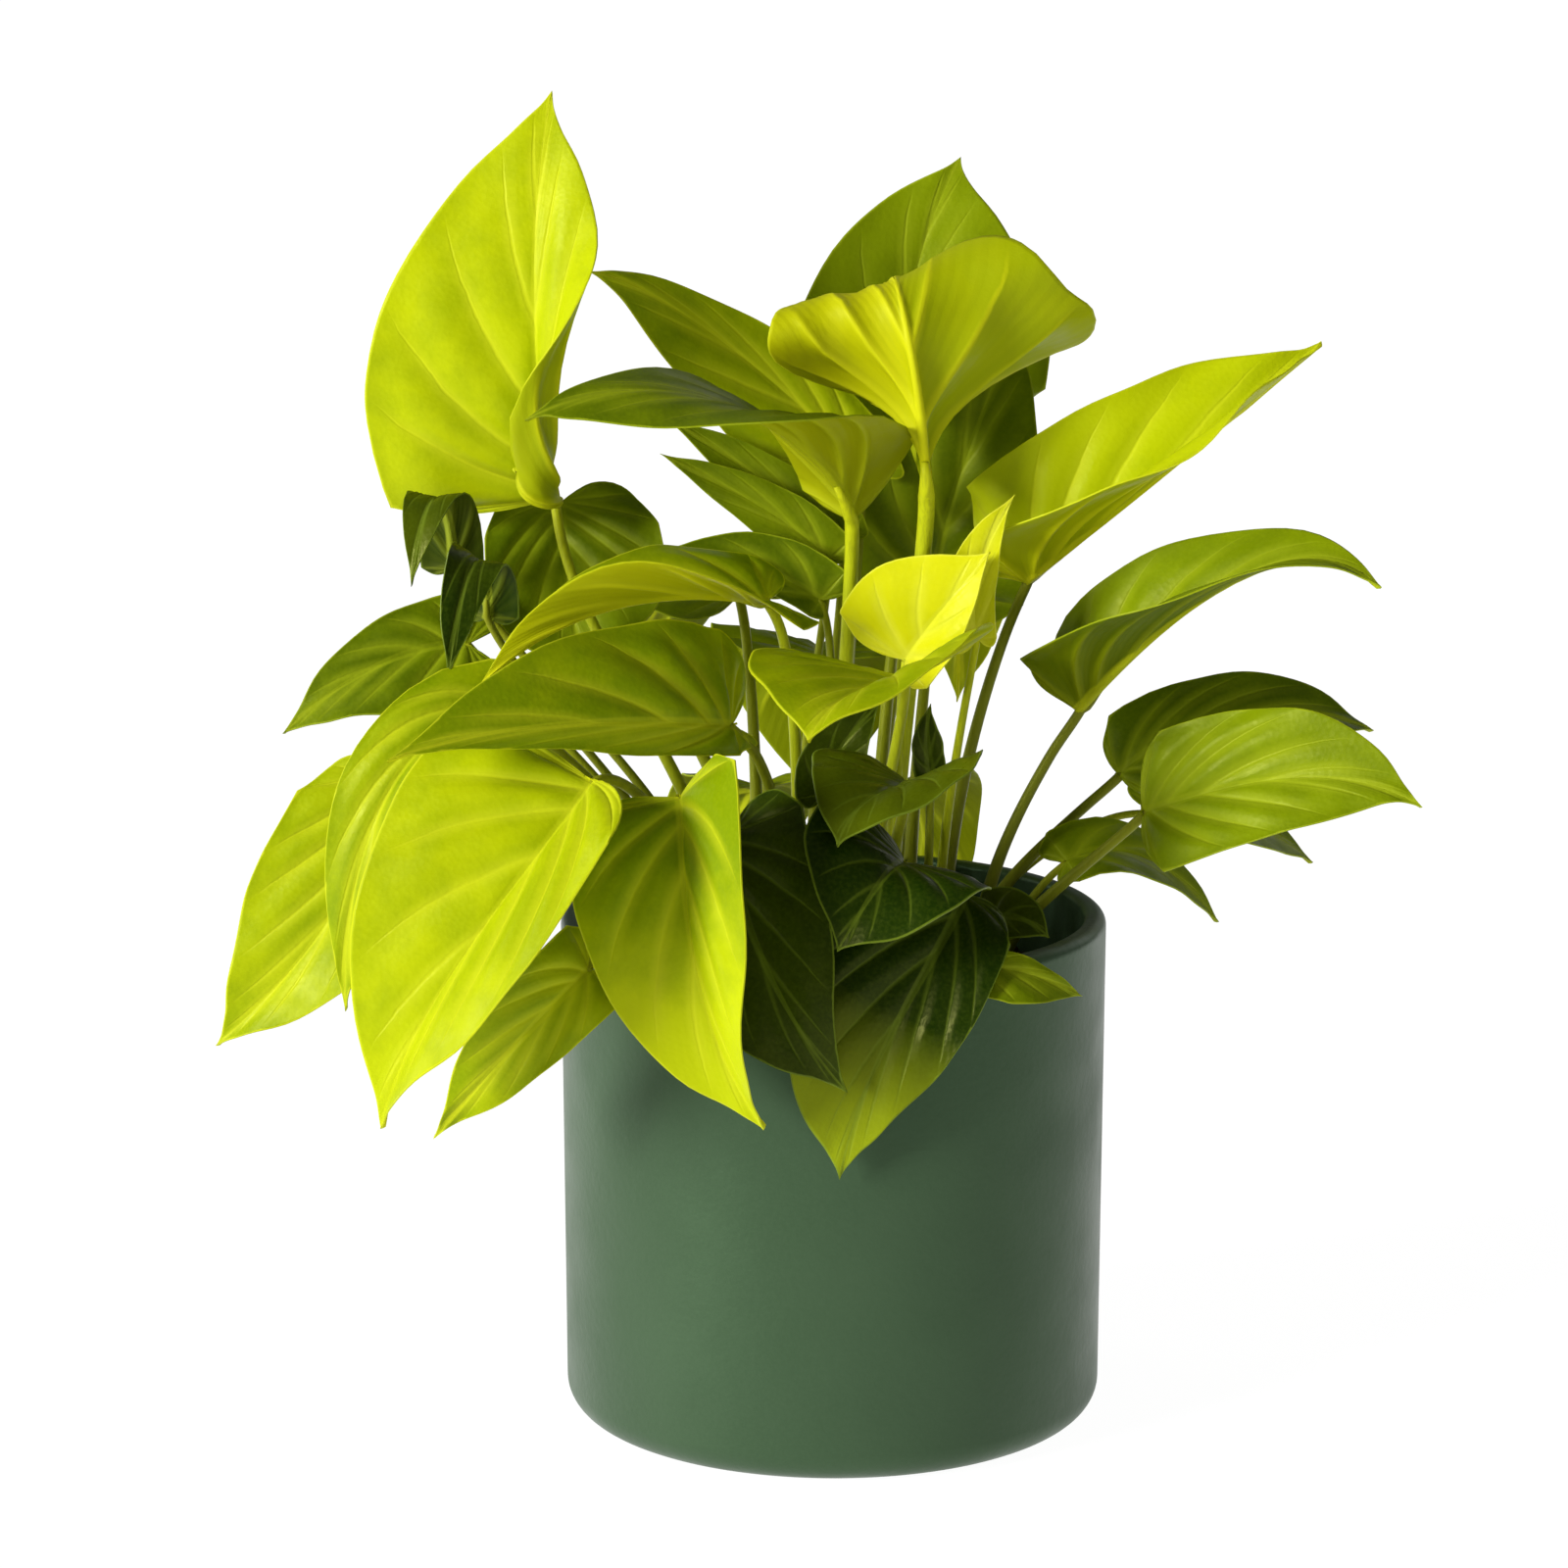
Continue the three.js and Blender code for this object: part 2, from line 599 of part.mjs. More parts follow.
leaf("leaf_rear_right", {
  root: [11, 36], bend: [22, 52, 228],
  rib: [[26, 60, 238], [34, 84, 248], [42, 104, 228], [40, 114, 190]],
  face: [[0.4, 0.6, 1], [0.3, 1, 0.2]], width: [22, 22],
});
leaf("leaf_rear_left", {
  tint: "green",
  root: [-22, 31], bend: [-24, 48, 220],
  rib: [[-28, 56, 234], [-38, 80, 246], [-52, 100, 230], [-54, 112, 196]],
  face: [[-0.4, 0.6, 1], [-0.3, 1, 0.2]], width: [32, 30],
});
leaf("leaf_rear_low_left", {
  tint: "green",
  root: [-18, 44], bend: [-20, 66, 184],
  rib: [[-22, 80, 170], [-26, 98, 168], [-34, 106, 140], [-34, 98, 100]],
  face: [[-0.2, 0.8, 1], [-0.2, 1, 0]], width: [24, 24], rows: 8,
});
leaf("leaf_rear_low_right", {
  tint: "green",
  root: [20, 44], bend: [22, 66, 184],
  rib: [[22, 80, 172], [27, 100, 170], [32, 112, 148], [34, 106, 110]],
  face: [[0.2, 0.8, 1], [0.2, 1, 0]], width: [20, 20], rows: 8,
});
leaf("leaf_rear_upper", {
  root: [3, 34], bend: [7, 56, 256],
  rib: [[6, 63, 266], [6, 84, 296], [4, 110, 300], [0, 126, 268]],
  face: [[0, 0.2, 1], [0, 1, 0.4]], width: [26, 26],
});

// The pot: one thick-walled turned shell with a flat base and a rounded rim, open at the top.
function potGeometry() {
  const inner = POT_RADIUS - POT_WALL;
  const profile = [new THREE.Vector2(0, 0)];
  const arc = (cx, cz, radius, from, to, steps) => {
    for (let i = 0; i <= steps; i++) {
      const angle = radians(from + ((to - from) * i) / steps);
      profile.push(new THREE.Vector2(cx + radius * Math.cos(angle), cz + radius * Math.sin(angle)));
    }
  };
  arc(POT_FOOT_RADIUS - BASE_ROUND, BASE_ROUND, BASE_ROUND, -90, 0, 3);
  arc(POT_RADIUS - RIM_ROUND, POT_HEIGHT - RIM_ROUND, RIM_ROUND, 0, 90, 3);
  arc(inner + RIM_ROUND * 0.6, POT_HEIGHT - RIM_ROUND * 0.6, RIM_ROUND * 0.6, 90, 180, 2);
  profile.push(new THREE.Vector2(inner - 0.4, POT_FLOOR + BASE_ROUND));
  profile.push(new THREE.Vector2(inner - BASE_ROUND, POT_FLOOR));
  profile.push(new THREE.Vector2(0, POT_FLOOR));
  return new THREE.LatheGeometry(profile, POT_SIDES);
}

// The soil: it fills the pot to a low mound, with a plain hole for each stalk.
function soilSolid() {
  const radius = POT_RADIUS - POT_WALL - 0.4 - SEAT_GAP;
  const floor = POT_FLOOR + SEAT_GAP;
  const profile = [
    new THREE.Vector2(0, floor),
    new THREE.Vector2(radius - BASE_ROUND, floor),
    new THREE.Vector2(radius, floor + BASE_ROUND),
    new THREE.Vector2(radius, soilTop(radius, 0)),
    new THREE.Vector2(radius * 0.66, soilTop(radius * 0.66, 0)),
    new THREE.Vector2(radius * 0.33, soilTop(radius * 0.33, 0)),
    new THREE.Vector2(0, soilTop(0, 0)),
  ];
  const upright = new THREE.Matrix4().makeRotationX(Math.PI / 2);
  let soil = solidOf(new THREE.LatheGeometry(profile, SOIL_SIDES).applyMatrix4(upright));
  for (const one of leaves) {
    const [x, y] = one.root;
    const bottom = soilTop(x, y) - HOLE_DEPTH - SEAT_GAP;
    const hole = tubeSolid(
      [new THREE.Vector3(x, y, bottom), new THREE.Vector3(x, y, POT_HEIGHT)],
      [1, 1].map(() => STALK_FOOT_RADIUS * one.size + HOLE_PLAY),
      HOLE_SIDES,
    );
    soil = soil.subtract(hole);
  }
  return soil;
}

const plant = new THREE.Group();

function addPiece(name, geometry, colour, roughness) {
  const material = new THREE.MeshStandardMaterial({ color: colour, roughness, metalness: 0 });
  const mesh = new THREE.Mesh(geometry, material);
  mesh.name = name;
  plant.add(mesh);
  return mesh;
}

const LEAF_COLOURS = { lime: 0x9cc414, green: 0x5f9410, dark: 0x33620f, yellow: 0xcfd80f };

const upright = new THREE.Matrix4().makeRotationX(Math.PI / 2);
addPiece("pot", potGeometry().applyMatrix4(upright), 0x46644a, 0.45);
addPiece("soil", geometryOf(soilSolid()), 0x2a1d14, 0.95);
for (const one of leaves) {
  const rib = new Rib(one.rib, one.face);
  const { path, radii } = stalkLine(one, rib);
  const grown = bladeSolid(one, rib).add(tubeSolid(path, radii, STALK_SIDES));
  addPiece(one.name, geometryOf(grown), LEAF_COLOURS[one.tint], 0.4);
}

export default plant;
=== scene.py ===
"""The looks of a potted homalomena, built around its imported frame.

+Z is up and the front is -Y. The origin is under the middle of the pot, on the surface it stands on.
Sizes are in millimetres until a mesh is made, and every finished mesh is in metres.
"""

import logging
import math
from dataclasses import dataclass, field
from enum import Enum

import bpy
import numpy as np
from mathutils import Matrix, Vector

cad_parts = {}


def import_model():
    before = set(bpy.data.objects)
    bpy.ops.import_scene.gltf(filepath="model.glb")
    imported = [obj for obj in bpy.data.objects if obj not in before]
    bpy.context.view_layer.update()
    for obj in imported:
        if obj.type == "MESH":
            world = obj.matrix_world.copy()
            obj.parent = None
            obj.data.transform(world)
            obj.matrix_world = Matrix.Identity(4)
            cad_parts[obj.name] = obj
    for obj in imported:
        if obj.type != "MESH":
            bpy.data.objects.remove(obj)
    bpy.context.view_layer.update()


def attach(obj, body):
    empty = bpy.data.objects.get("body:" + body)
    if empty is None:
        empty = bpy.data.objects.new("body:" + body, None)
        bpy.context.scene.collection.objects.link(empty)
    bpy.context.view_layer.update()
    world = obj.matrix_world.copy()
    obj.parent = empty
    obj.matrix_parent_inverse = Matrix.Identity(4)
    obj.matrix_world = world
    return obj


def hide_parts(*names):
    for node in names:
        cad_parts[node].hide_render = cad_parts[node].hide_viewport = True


LOG = logging.getLogger("homalomena")
METRES = 0.001
# The colour of the shine on leaves and stalks.
WAX_SHEEN = (1.0, 1.0, 0.3, 1.0)

Colour = tuple[float, float, float]
Point = tuple[float, float, float]


class Tint(Enum):
    """The leaf colours of the plant: partly the leaves' own greens and partly painted light and shade, the
    dark one also standing for the deep shade among the inner and front leaves.
    """

    LIME = "lime"
    GREEN = "green"
    DARK = "dark"
    YELLOW = "yellow"


class Surface(Enum):
    """The surfaces of a leaf, in the order of its material slots."""

    UPPER = 0
    UNDER = 1
    STALK = 2


def smooth_step(low: float, high: float, values: np.ndarray) -> np.ndarray:
    """Rise smoothly from 0 at low to 1 at high.

    Args:
        low: where the rise starts.
        high: where the rise ends.
        values: the values to look up.

    Returns:
        The risen shares, from 0 to 1.
    """
    share = np.clip((values - low) / (high - low), 0, 1)
    return share * share * (3 - 2 * share)


def spread_along(values: tuple[float, float, float], u: np.ndarray) -> np.ndarray:
    """Spread three values over a rib, at its base, middle and tip, as one smooth curve."""
    base, middle, tip = values
    return base * (1 - u) ** 2 + middle * 2 * u * (1 - u) + tip * u * u


def bezier(points: np.ndarray, t: np.ndarray) -> tuple[np.ndarray, np.ndarray]:
    """Walk a cubic Bezier curve.

    Args:
        points: its four control points.
        t: the parameters to look up.

    Returns:
        The places and the unit directions there.
    """
    p0, p1, p2, p3 = points
    t = t[:, None]
    place = (1 - t) ** 3 * p0 + 3 * t * (1 - t) ** 2 * p1 + 3 * t * t * (1 - t) * p2 + t**3 * p3
    way = (1 - t) ** 2 * (p1 - p0) + 2 * t * (1 - t) * (p2 - p1) + t * t * (p3 - p2)
    return place, unit(way)


def unit(vectors: np.ndarray) -> np.ndarray:
    """Scale vectors to length one."""
    length = np.linalg.norm(vectors, axis=-1, keepdims=True)
    return vectors / np.maximum(length, 1e-12)


class MeshParts:
    """Points, faces and their values, gathered for one mesh."""

    def __init__(self) -> None:
        """Start empty."""
        self.points: list[np.ndarray] = []
        self.values: dict[str, list[np.ndarray]] = {}
        self.faces: list[tuple[int, ...]] = []
        self.corners: list[tuple[float, float]] = []
        self.surfaces: list[int] = []
        self.smooth: list[bool] = []
        self.count = 0

    def add_points(self, points: np.ndarray, **values: np.ndarray) -> int:
        """Add points in millimetres.

        Args:
            points: the points, one a row.
            values: a number for each point, by attribute name.

        Returns:
            The index of the first new point.
        """
        first = self.count
        self.points.append(points)
        for name, numbers in values.items():
            self.values.setdefault(name, []).append(np.broadcast_to(numbers, len(points)))
        self.count += len(points)
        return first

    def add_ring(self, points: np.ndarray, sides: int, **values: np.ndarray) -> list[int]:
        """Add a ring of points, or one point that stands for the whole ring.

        Args:
            points: the points, one a row.
            sides: how many steps the ring takes round.
            values: a number for each point, by attribute name.

        Returns:
            The index of the point at each step.
        """
        first = self.add_points(points, **values)
        return [first] * sides if len(points) == 1 else list(range(first, first + sides))

    def join_rings(self, rings: list[list[int]], surface: Surface | None = None) -> None:
        """Join each ring to the next one with faces.

        Args:
            rings: the indices of each ring's points.
            surface: the surface that the faces belong to, where the mesh has several.
        """
        for low, high in zip(rings, rings[1:]):
            for k in range(len(low)):
                n = (k + 1) % len(low)
                corners = (low[k], low[n], high[n], high[k])
                self.add_face([(corner, 0.0, 0.0) for corner in corners], surface)

    def add_face(
        self,
        corners: list[tuple[int, float, float]],
        surface: Surface | None = None,
        smooth: bool = True,
    ) -> None:
        """Add a face, leaving out corners that fall together.

        Args:
            corners: a point's index and its place on the surface, for each corner.
            surface: the surface that it belongs to, where the mesh has several.
            smooth: whether it is shaded smooth.
        """
        kept = [c for k, c in enumerate(corners) if c[0] != corners[k - 1][0]]
        if len({c[0] for c in kept}) < 3:
            return
        self.faces.append(tuple(c[0] for c in kept))
        self.corners.extend((c[1], c[2]) for c in kept)
        self.surfaces.append(surface.value if surface else 0)
        self.smooth.append(smooth)

    def build(self, name: str, finishes: list[bpy.types.Material]) -> bpy.types.Object:
        """Make the mesh and its object, at the origin and in metres.

        Args:
            name: the object's name.
            finishes: its materials, in slot order.

        Returns:
            The object, in the scene.
        """
        mesh = bpy.data.meshes.new(name)
        points = np.concatenate(self.points) * METRES
        mesh.from_pydata(points.tolist(), [], self.faces)
        mesh.polygons.foreach_set("use_smooth", self.smooth)
        mesh.polygons.foreach_set("material_index", self.surfaces)
        for label, numbers in self.values.items():
            values = mesh.attributes.new(label, "FLOAT", "POINT")
            values.data.foreach_set("value", np.concatenate(numbers).astype(np.float32))
        if any(corner != (0.0, 0.0) for corner in self.corners):
            layer = mesh.uv_layers.new(name="Blade")
            layer.data.foreach_set("uv", np.array(self.corners, dtype=np.float32).ravel())
        for finish in finishes:
            mesh.materials.append(finish)
        mesh.validate()
        piece = bpy.data.objects.new(name, mesh)
        bpy.context.scene.collection.objects.link(piece)
        return piece


class Finish:
    """A material's node tree, built by short calls."""

    def __init__(self, name: str) -> None:
        """Start a material with only its output.

        Args:
            name: the material's name.
        """
        self.material = bpy.data.materials.new(name)
        self.material.use_nodes = True
        self.tree = self.material.node_tree
        self.tree.nodes.clear()
        self.output = self.tree.nodes.new("ShaderNodeOutputMaterial")
        self.place = self.node("ShaderNodeTexCoord").outputs["Object"]

    def node(
        self,
        kind: str,
        inputs: dict[str | int, object] | None = None,
        **settings: object,
    ) -> bpy.types.Node:
        """Add a node.

        Args:
            kind: its Blender type.
            inputs: a value or another node's socket, by input name or place.
            settings: the node's own properties.

        Returns:
            The node.
        """
        made = self.tree.nodes.new(kind)
        for name, value in settings.items():
            setattr(made, name, value)
        for key, value in (inputs or {}).items():
            if isinstance(value, bpy.types.NodeSocket):
                self.tree.links.new(value, made.inputs[key])
            else:
                made.inputs[key].default_value = value
        return made

    def math(
        self,
        operation: str,
        first: object,
        second: object = 0.0,
        clamp: bool = False,
    ) -> bpy.types.NodeSocket:
        """Do one sum on two values, and give its result."""
        made = self.node("ShaderNodeMath", {0: first, 1: second}, operation=operation, use_clamp=clamp)
        return made.outputs[0]

    def ramp(
        self,
        value: object,
        low: object,
        high: object,
        start: object = 0.0,
        end: object = 1.0,
    ) -> bpy.types.NodeSocket:
        """Turn low..high of a value smoothly into start..end."""
        inputs = {"Value": value, "From Min": low, "From Max": high, "To Min": start, "To Max": end}
        return self.node("ShaderNodeMapRange", inputs, interpolation_type="SMOOTHSTEP").outputs[0]

    def mix(self, share: object, first: object, second: object) -> bpy.types.NodeSocket:
        """Mix two colours by a share, and give the result."""
        made = self.node("ShaderNodeMix", data_type="RGBA")
        for key, value in ((0, share), (6, first), (7, second)):
            if isinstance(value, bpy.types.NodeSocket):
                self.tree.links.new(value, made.inputs[key])
            else:
                made.inputs[key].default_value = (*value, 1) if isinstance(value, tuple) else value
        return made.outputs[2]

    def layer(self, mask: object, strength: object, body: object, over: object) -> bpy.types.NodeSocket:
        """Lay a colour over another where a mask of 0 to 1 is, at a strength, and give the result."""
        return self.mix(self.math("MULTIPLY", mask, strength), body, over)

    def noise(
        self,
        scale: float,
        detail: float = 3.0,
        vector: object = None,
        rough: float = 0.5,
    ) -> bpy.types.NodeSocket:
        """Give noise from 0 to 1 at a scale per metre, in the object's own place or a vector's."""
        inputs = {"Vector": vector or self.place, "Scale": scale, "Detail": detail, "Roughness": rough}
        return self.node("ShaderNodeTexNoise", inputs).outputs["Fac"]

    def value(self, name: str) -> bpy.types.NodeSocket:
        """Read a number that the mesh holds at each point."""
        return self.node("ShaderNodeAttribute", attribute_name=name).outputs["Fac"]

    def bump(self, height: object, depth: float, strength: float = 1.0) -> bpy.types.NodeSocket:
        """Give a normal from a height of 0 to 1, with the depth in metres."""
        inputs = {"Height": height, "Distance": depth, "Strength": strength}
        return self.node("ShaderNodeBump", inputs).outputs[0]

    def finish(self, shader: bpy.types.Node) -> bpy.types.Material:
        """Join the shader to the output, and give the material."""
        self.tree.links.new(shader.outputs[0], self.output.inputs["Surface"])
        return self.material


@dataclass(frozen=True)
class LeafFinish:
    """The two faces of a leaf of one tint.

    Attributes:
        tint: which of the plant's leaf colours it is.
        deep: its darker colour, linear.
        bright: its lighter colour, linear.
        vein: the colour of its veins and rib on the upper face, and of the painted highlight along its
            margin, linear.
        under: the colour of its underside, linear.
        under_vein: the colour of the raised veins there, linear.
        roughness: how matte the upper face is.
        glow: the share of the light that comes through the blade.
        mottle: how much its patches differ, as a share of the way from deep to bright.
        halo: how pale the blade is beside its veins.
    """

    tint: Tint
    deep: Colour
    bright: Colour
    vein: Colour
    under: Colour
    under_vein: Colour
    roughness: float = 0.4
    glow: float = 0.3
    mottle: float = 0.5
    halo: float = 0.42

    def _marks(self, finish: Finish, wide: float = 1.0) -> dict[str, bpy.types.NodeSocket]:
        """Find the veins, rib, margin and tip on a blade.

        Args:
            finish: the material under way.
            wide: how many times wider than on the upper face the veins are.

        Returns:
            A mask from 0 to 1 for each of them, by name, and the fine lines between the veins.
        """
        place = finish.node("ShaderNodeUVMap", uv_map="Blade").outputs[0]
        parts = finish.node("ShaderNodeSeparateXYZ", {0: place})
        row, across = parts.outputs[0], parts.outputs[1]
        along, spread = finish.value("along"), finish.value("spread")
        wander = finish.math("MULTIPLY", finish.math("SUBTRACT", finish.noise(90), 0.5), 0.12)
        near = finish.math("PINGPONG", finish.math("ADD", row, wander), 0.5)
        gap = finish.math("MULTIPLY", near, spread)
        width = finish.ramp(across, 0.0, 1.0, 0.34 * wide, 0.12 * wide)
        core, fade = finish.math("MULTIPLY", width, 0.4), finish.math("MULTIPLY", width, 3.4)
        vein = finish.ramp(gap, core, fade, 1.0, 0.0)
        vein = finish.math("MULTIPLY", vein, finish.ramp(across, 0.78, 0.99, 1.0, 0.0))
        halo = finish.ramp(gap, 0.3, 3.4, 1.0, 0.0)
        halo = finish.math("MULTIPLY", halo, finish.ramp(across, 0.55, 0.98, 1.0, 0.0))
        rib_width = finish.ramp(along, 0.0, 1.0, 1.15, 0.25)
        rib_edge = finish.math("MULTIPLY", rib_width, 1.7)
        rib = finish.ramp(finish.value("rib_distance"), rib_width, rib_edge, 1.0, 0.0)
        # The margin's mask, used to paint a highlight along the edge.
        margin = finish.ramp(finish.value("edge_distance"), 0.25, 0.75, 1.0, 0.0)
        tip = finish.ramp(along, 0.93, 0.995, 0.0, 1.0)
        lines = finish.math("PINGPONG", finish.math("MULTIPLY", row, 5.0), 0.5)
        return {"vein": vein, "halo": halo, "rib": rib, "margin": margin, "tip": tip, "lines": lines}

    def _surface(
        self,
        finish: Finish,
        colour: object,
        rough: object,
        normal: object,
    ) -> bpy.types.Material:
        """Give a blade's material: a waxy face that lets some light through.

        Args:
            finish: the material under way.
            colour: the face's colour.
            rough: the face's roughness.
            normal: the bumped normal.

        Returns:
            The material.
        """
        face = finish.node(
            "ShaderNodeBsdfPrincipled",
            {
                "Base Color": colour,
                "Roughness": rough,
                "Normal": normal,
                "Specular IOR Level": 0.22,
                "Specular Tint": WAX_SHEEN,
            },
        )
        through = finish.node("ShaderNodeBsdfTranslucent", {"Color": colour, "Normal": normal})
        inputs = {0: self.glow, 1: face.outputs[0], 2: through.outputs[0]}
        return finish.finish(finish.node("ShaderNodeMixShader", inputs))

    def upper(self) -> bpy.types.Material:
        """Make the upper face: quilted and glossy, with pale veins, rib and tip, and a painted highlight
        along the margin.
        """
        finish = Finish(f"leaf_{self.tint.value}_upper")
        marks = self._marks(finish)
        patch = finish.ramp(finish.noise(38, 5, rough=0.6), 0.32, 0.68)
        share = finish.math("SUBTRACT", finish.value("tone"), 0.5 * self.mottle)
        share = finish.math("ADD", finish.math("MULTIPLY", patch, self.mottle), share)
        body = finish.mix(finish.math("MULTIPLY", share, 1.0, clamp=True), self.deep, self.bright)
        freckle = finish.ramp(finish.noise(900, 2), 0.35, 0.75)
        body = finish.layer(freckle, 0.08, body, self.vein)
        body = finish.layer(marks["lines"], 0.05, body, self.deep)
        # The margin's share is a painted highlight along the edge.
        strengths = {"halo": self.halo, "vein": 0.3, "rib": 0.4, "margin": 0.7, "tip": 0.35}
        for mark, strength in strengths.items():
            body = finish.layer(marks[mark], strength, body, self.vein)
        cells = finish.node("ShaderNodeTexVoronoi", {"Vector": finish.place, "Scale": 650.0})
        pores = finish.math("MULTIPLY", cells.outputs["Distance"], 0.5)
        height = finish.math("ADD", pores, finish.math("MULTIPLY", marks["lines"], 0.2))
        height = finish.math("SUBTRACT", height, finish.math("MULTIPLY", marks["vein"], 0.8))
        normal = finish.bump(height, 0.00016, 0.8)
        rough = finish.ramp(finish.noise(130, 4), 0.3, 0.75, self.roughness - 0.07, self.roughness + 0.12)
        return self._surface(finish, body, rough, normal)

    def underside(self) -> bpy.types.Material:
        """Make the underside: paler and matte, with raised bright veins."""
        finish = Finish(f"leaf_{self.tint.value}_under")
        marks = self._marks(finish, 2.2)
        patch = finish.ramp(finish.noise(26, 2), 0.3, 0.7)
        share = finish.math("SUBTRACT", finish.value("tone"), 0.1)
        share = finish.math("ADD", finish.math("MULTIPLY", patch, 0.2), share)
        body = finish.mix(finish.math("MULTIPLY", share, 1.0, clamp=True), self.deep, self.under)
        body = finish.layer(marks["lines"], 0.1, body, self.under_vein)
        light = finish.ramp(finish.value("tone"), 0.0, 0.9, 0.25, 0.85)
        body = finish.layer(marks["vein"], light, body, self.under_vein)
        body = finish.layer(marks["rib"], 0.9, body, self.under_vein)
        # A painted highlight along the margin.
        body = finish.layer(marks["margin"], 0.45, body, self.vein)
        height = finish.math("ADD", marks["lines"], finish.math("MULTIPLY", finish.noise(700, 3), 0.6))
        normal = finish.bump(height, 0.00014, 0.8)
        rough = finish.ramp(finish.noise(160, 3), 0.3, 0.7, 0.42, 0.58)
        return self._surface(finish, body, rough, normal)


@dataclass(frozen=True)
class StalkFinish:
    """The stalks: olive green, paler where they leave the soil and where they meet the blade.

    Attributes:
        middle: the colour along most of a stalk, linear.
        foot: the colour at the soil, linear.
        neck: the colour under the blade, linear.
        dim_stalk: the colour of the darkest ones, linear.
        fibre: the colour of the thin streaks along them, linear.
    """

    middle: Colour = (0.42, 0.47, 0.008)
    foot: Colour = (0.4, 0.42, 0.05)
    neck: Colour = (0.6, 0.63, 0.01)
    dim_stalk: Colour = (0.13, 0.145, 0.01)
    fibre: Colour = (0.12, 0.13, 0.01)

    def build(self) -> bpy.types.Material:
        """Make the material."""
        finish = Finish("leaf_stalk")
        along = finish.value("along")
        body = finish.mix(finish.ramp(along, 0.0, 0.35), self.foot, self.middle)
        body = finish.mix(finish.ramp(along, 0.6, 1.0), body, self.neck)
        body = finish.mix(finish.ramp(finish.value("tone"), 0.0, 1.0, 1.0, 0.0), body, self.dim_stalk)
        drawn_out = finish.node("ShaderNodeMapping", {"Vector": finish.place, "Scale": (1.0, 1.0, 0.12)})
        fibres = finish.noise(1400, 3, drawn_out.outputs[0])
        body = finish.mix(finish.ramp(fibres, 0.4, 0.7, 0.0, 0.25), body, self.fibre)
        face = finish.node(
            "ShaderNodeBsdfPrincipled",
            {
                "Base Color": body,
                "Roughness": 0.42,
                "Normal": finish.bump(fibres, 0.0002, 0.7),
                "Specular IOR Level": 0.2,
                "Specular Tint": WAX_SHEEN,
            },
        )
        return finish.finish(face)


@dataclass(frozen=True)
class GlazeFinish:
    """The pot: a satin dark green glaze, very slightly mottled, with tiny pits.

    Attributes:
        body: the glaze's colour, linear.
        pale: its lighter patches, linear.
        roughness: how matte it is.
    """

    body: Colour = (0.03, 0.057, 0.027)
    pale: Colour = (0.045, 0.078, 0.04)
    roughness: float = 0.4

    def build(self) -> bpy.types.Material:
        """Make the material."""
        finish = Finish("pot_glaze")
        cloud = finish.ramp(finish.noise(14, 4), 0.3, 0.7)
        grain = finish.ramp(finish.noise(900, 3), 0.35, 0.7)
        body = finish.layer(cloud, 0.5, self.body, self.pale)
        body = finish.layer(grain, 0.22, body, self.pale)
        height = finish.math("ADD", finish.noise(420, 4), finish.math("MULTIPLY", finish.noise(60, 2), 0.8))
        rough = finish.ramp(finish.noise(35, 4), 0.3, 0.75, self.roughness - 0.05, self.roughness + 0.09)
        face = finish.node(
            "ShaderNodeBsdfPrincipled",
            {
                "Base Color": body,
                "Roughness": rough,
                "Normal": finish.bump(height, 0.00022, 0.5),
                "Specular IOR Level": 0.45,
                "Specular Tint": (0.6, 1.0, 0.55, 1.0),
            },
        )
        return finish.finish(face)


@dataclass(frozen=True)
class SoilFinish:
    """Dark damp potting soil, crumbly, with paler fibres.

    Attributes:
        damp: its darkest colour, linear.
        crumb: its crumbs' colour, linear.
        fibre: the paler bits in it, linear.
    """

    damp: Colour = (0.016, 0.01, 0.007)
    crumb: Colour = (0.06, 0.037, 0.022)
    fibre: Colour = (0.17, 0.11, 0.06)

    def build(self) -> bpy.types.Material:
        """Make the material."""
        finish = Finish("soil")
        body = finish.mix(finish.ramp(finish.noise(260, 5), 0.3, 0.7), self.damp, self.crumb)
        body = finish.mix(finish.ramp(finish.noise(480, 2), 0.66, 0.76), body, self.fibre)
        normal = finish.bump(finish.noise(1100, 5, rough=0.7), 0.0006, 1.0)
        inputs = {"Base Color": body, "Roughness": 0.93, "Normal": normal}
        return finish.finish(finish.node("ShaderNodeBsdfPrincipled", inputs))


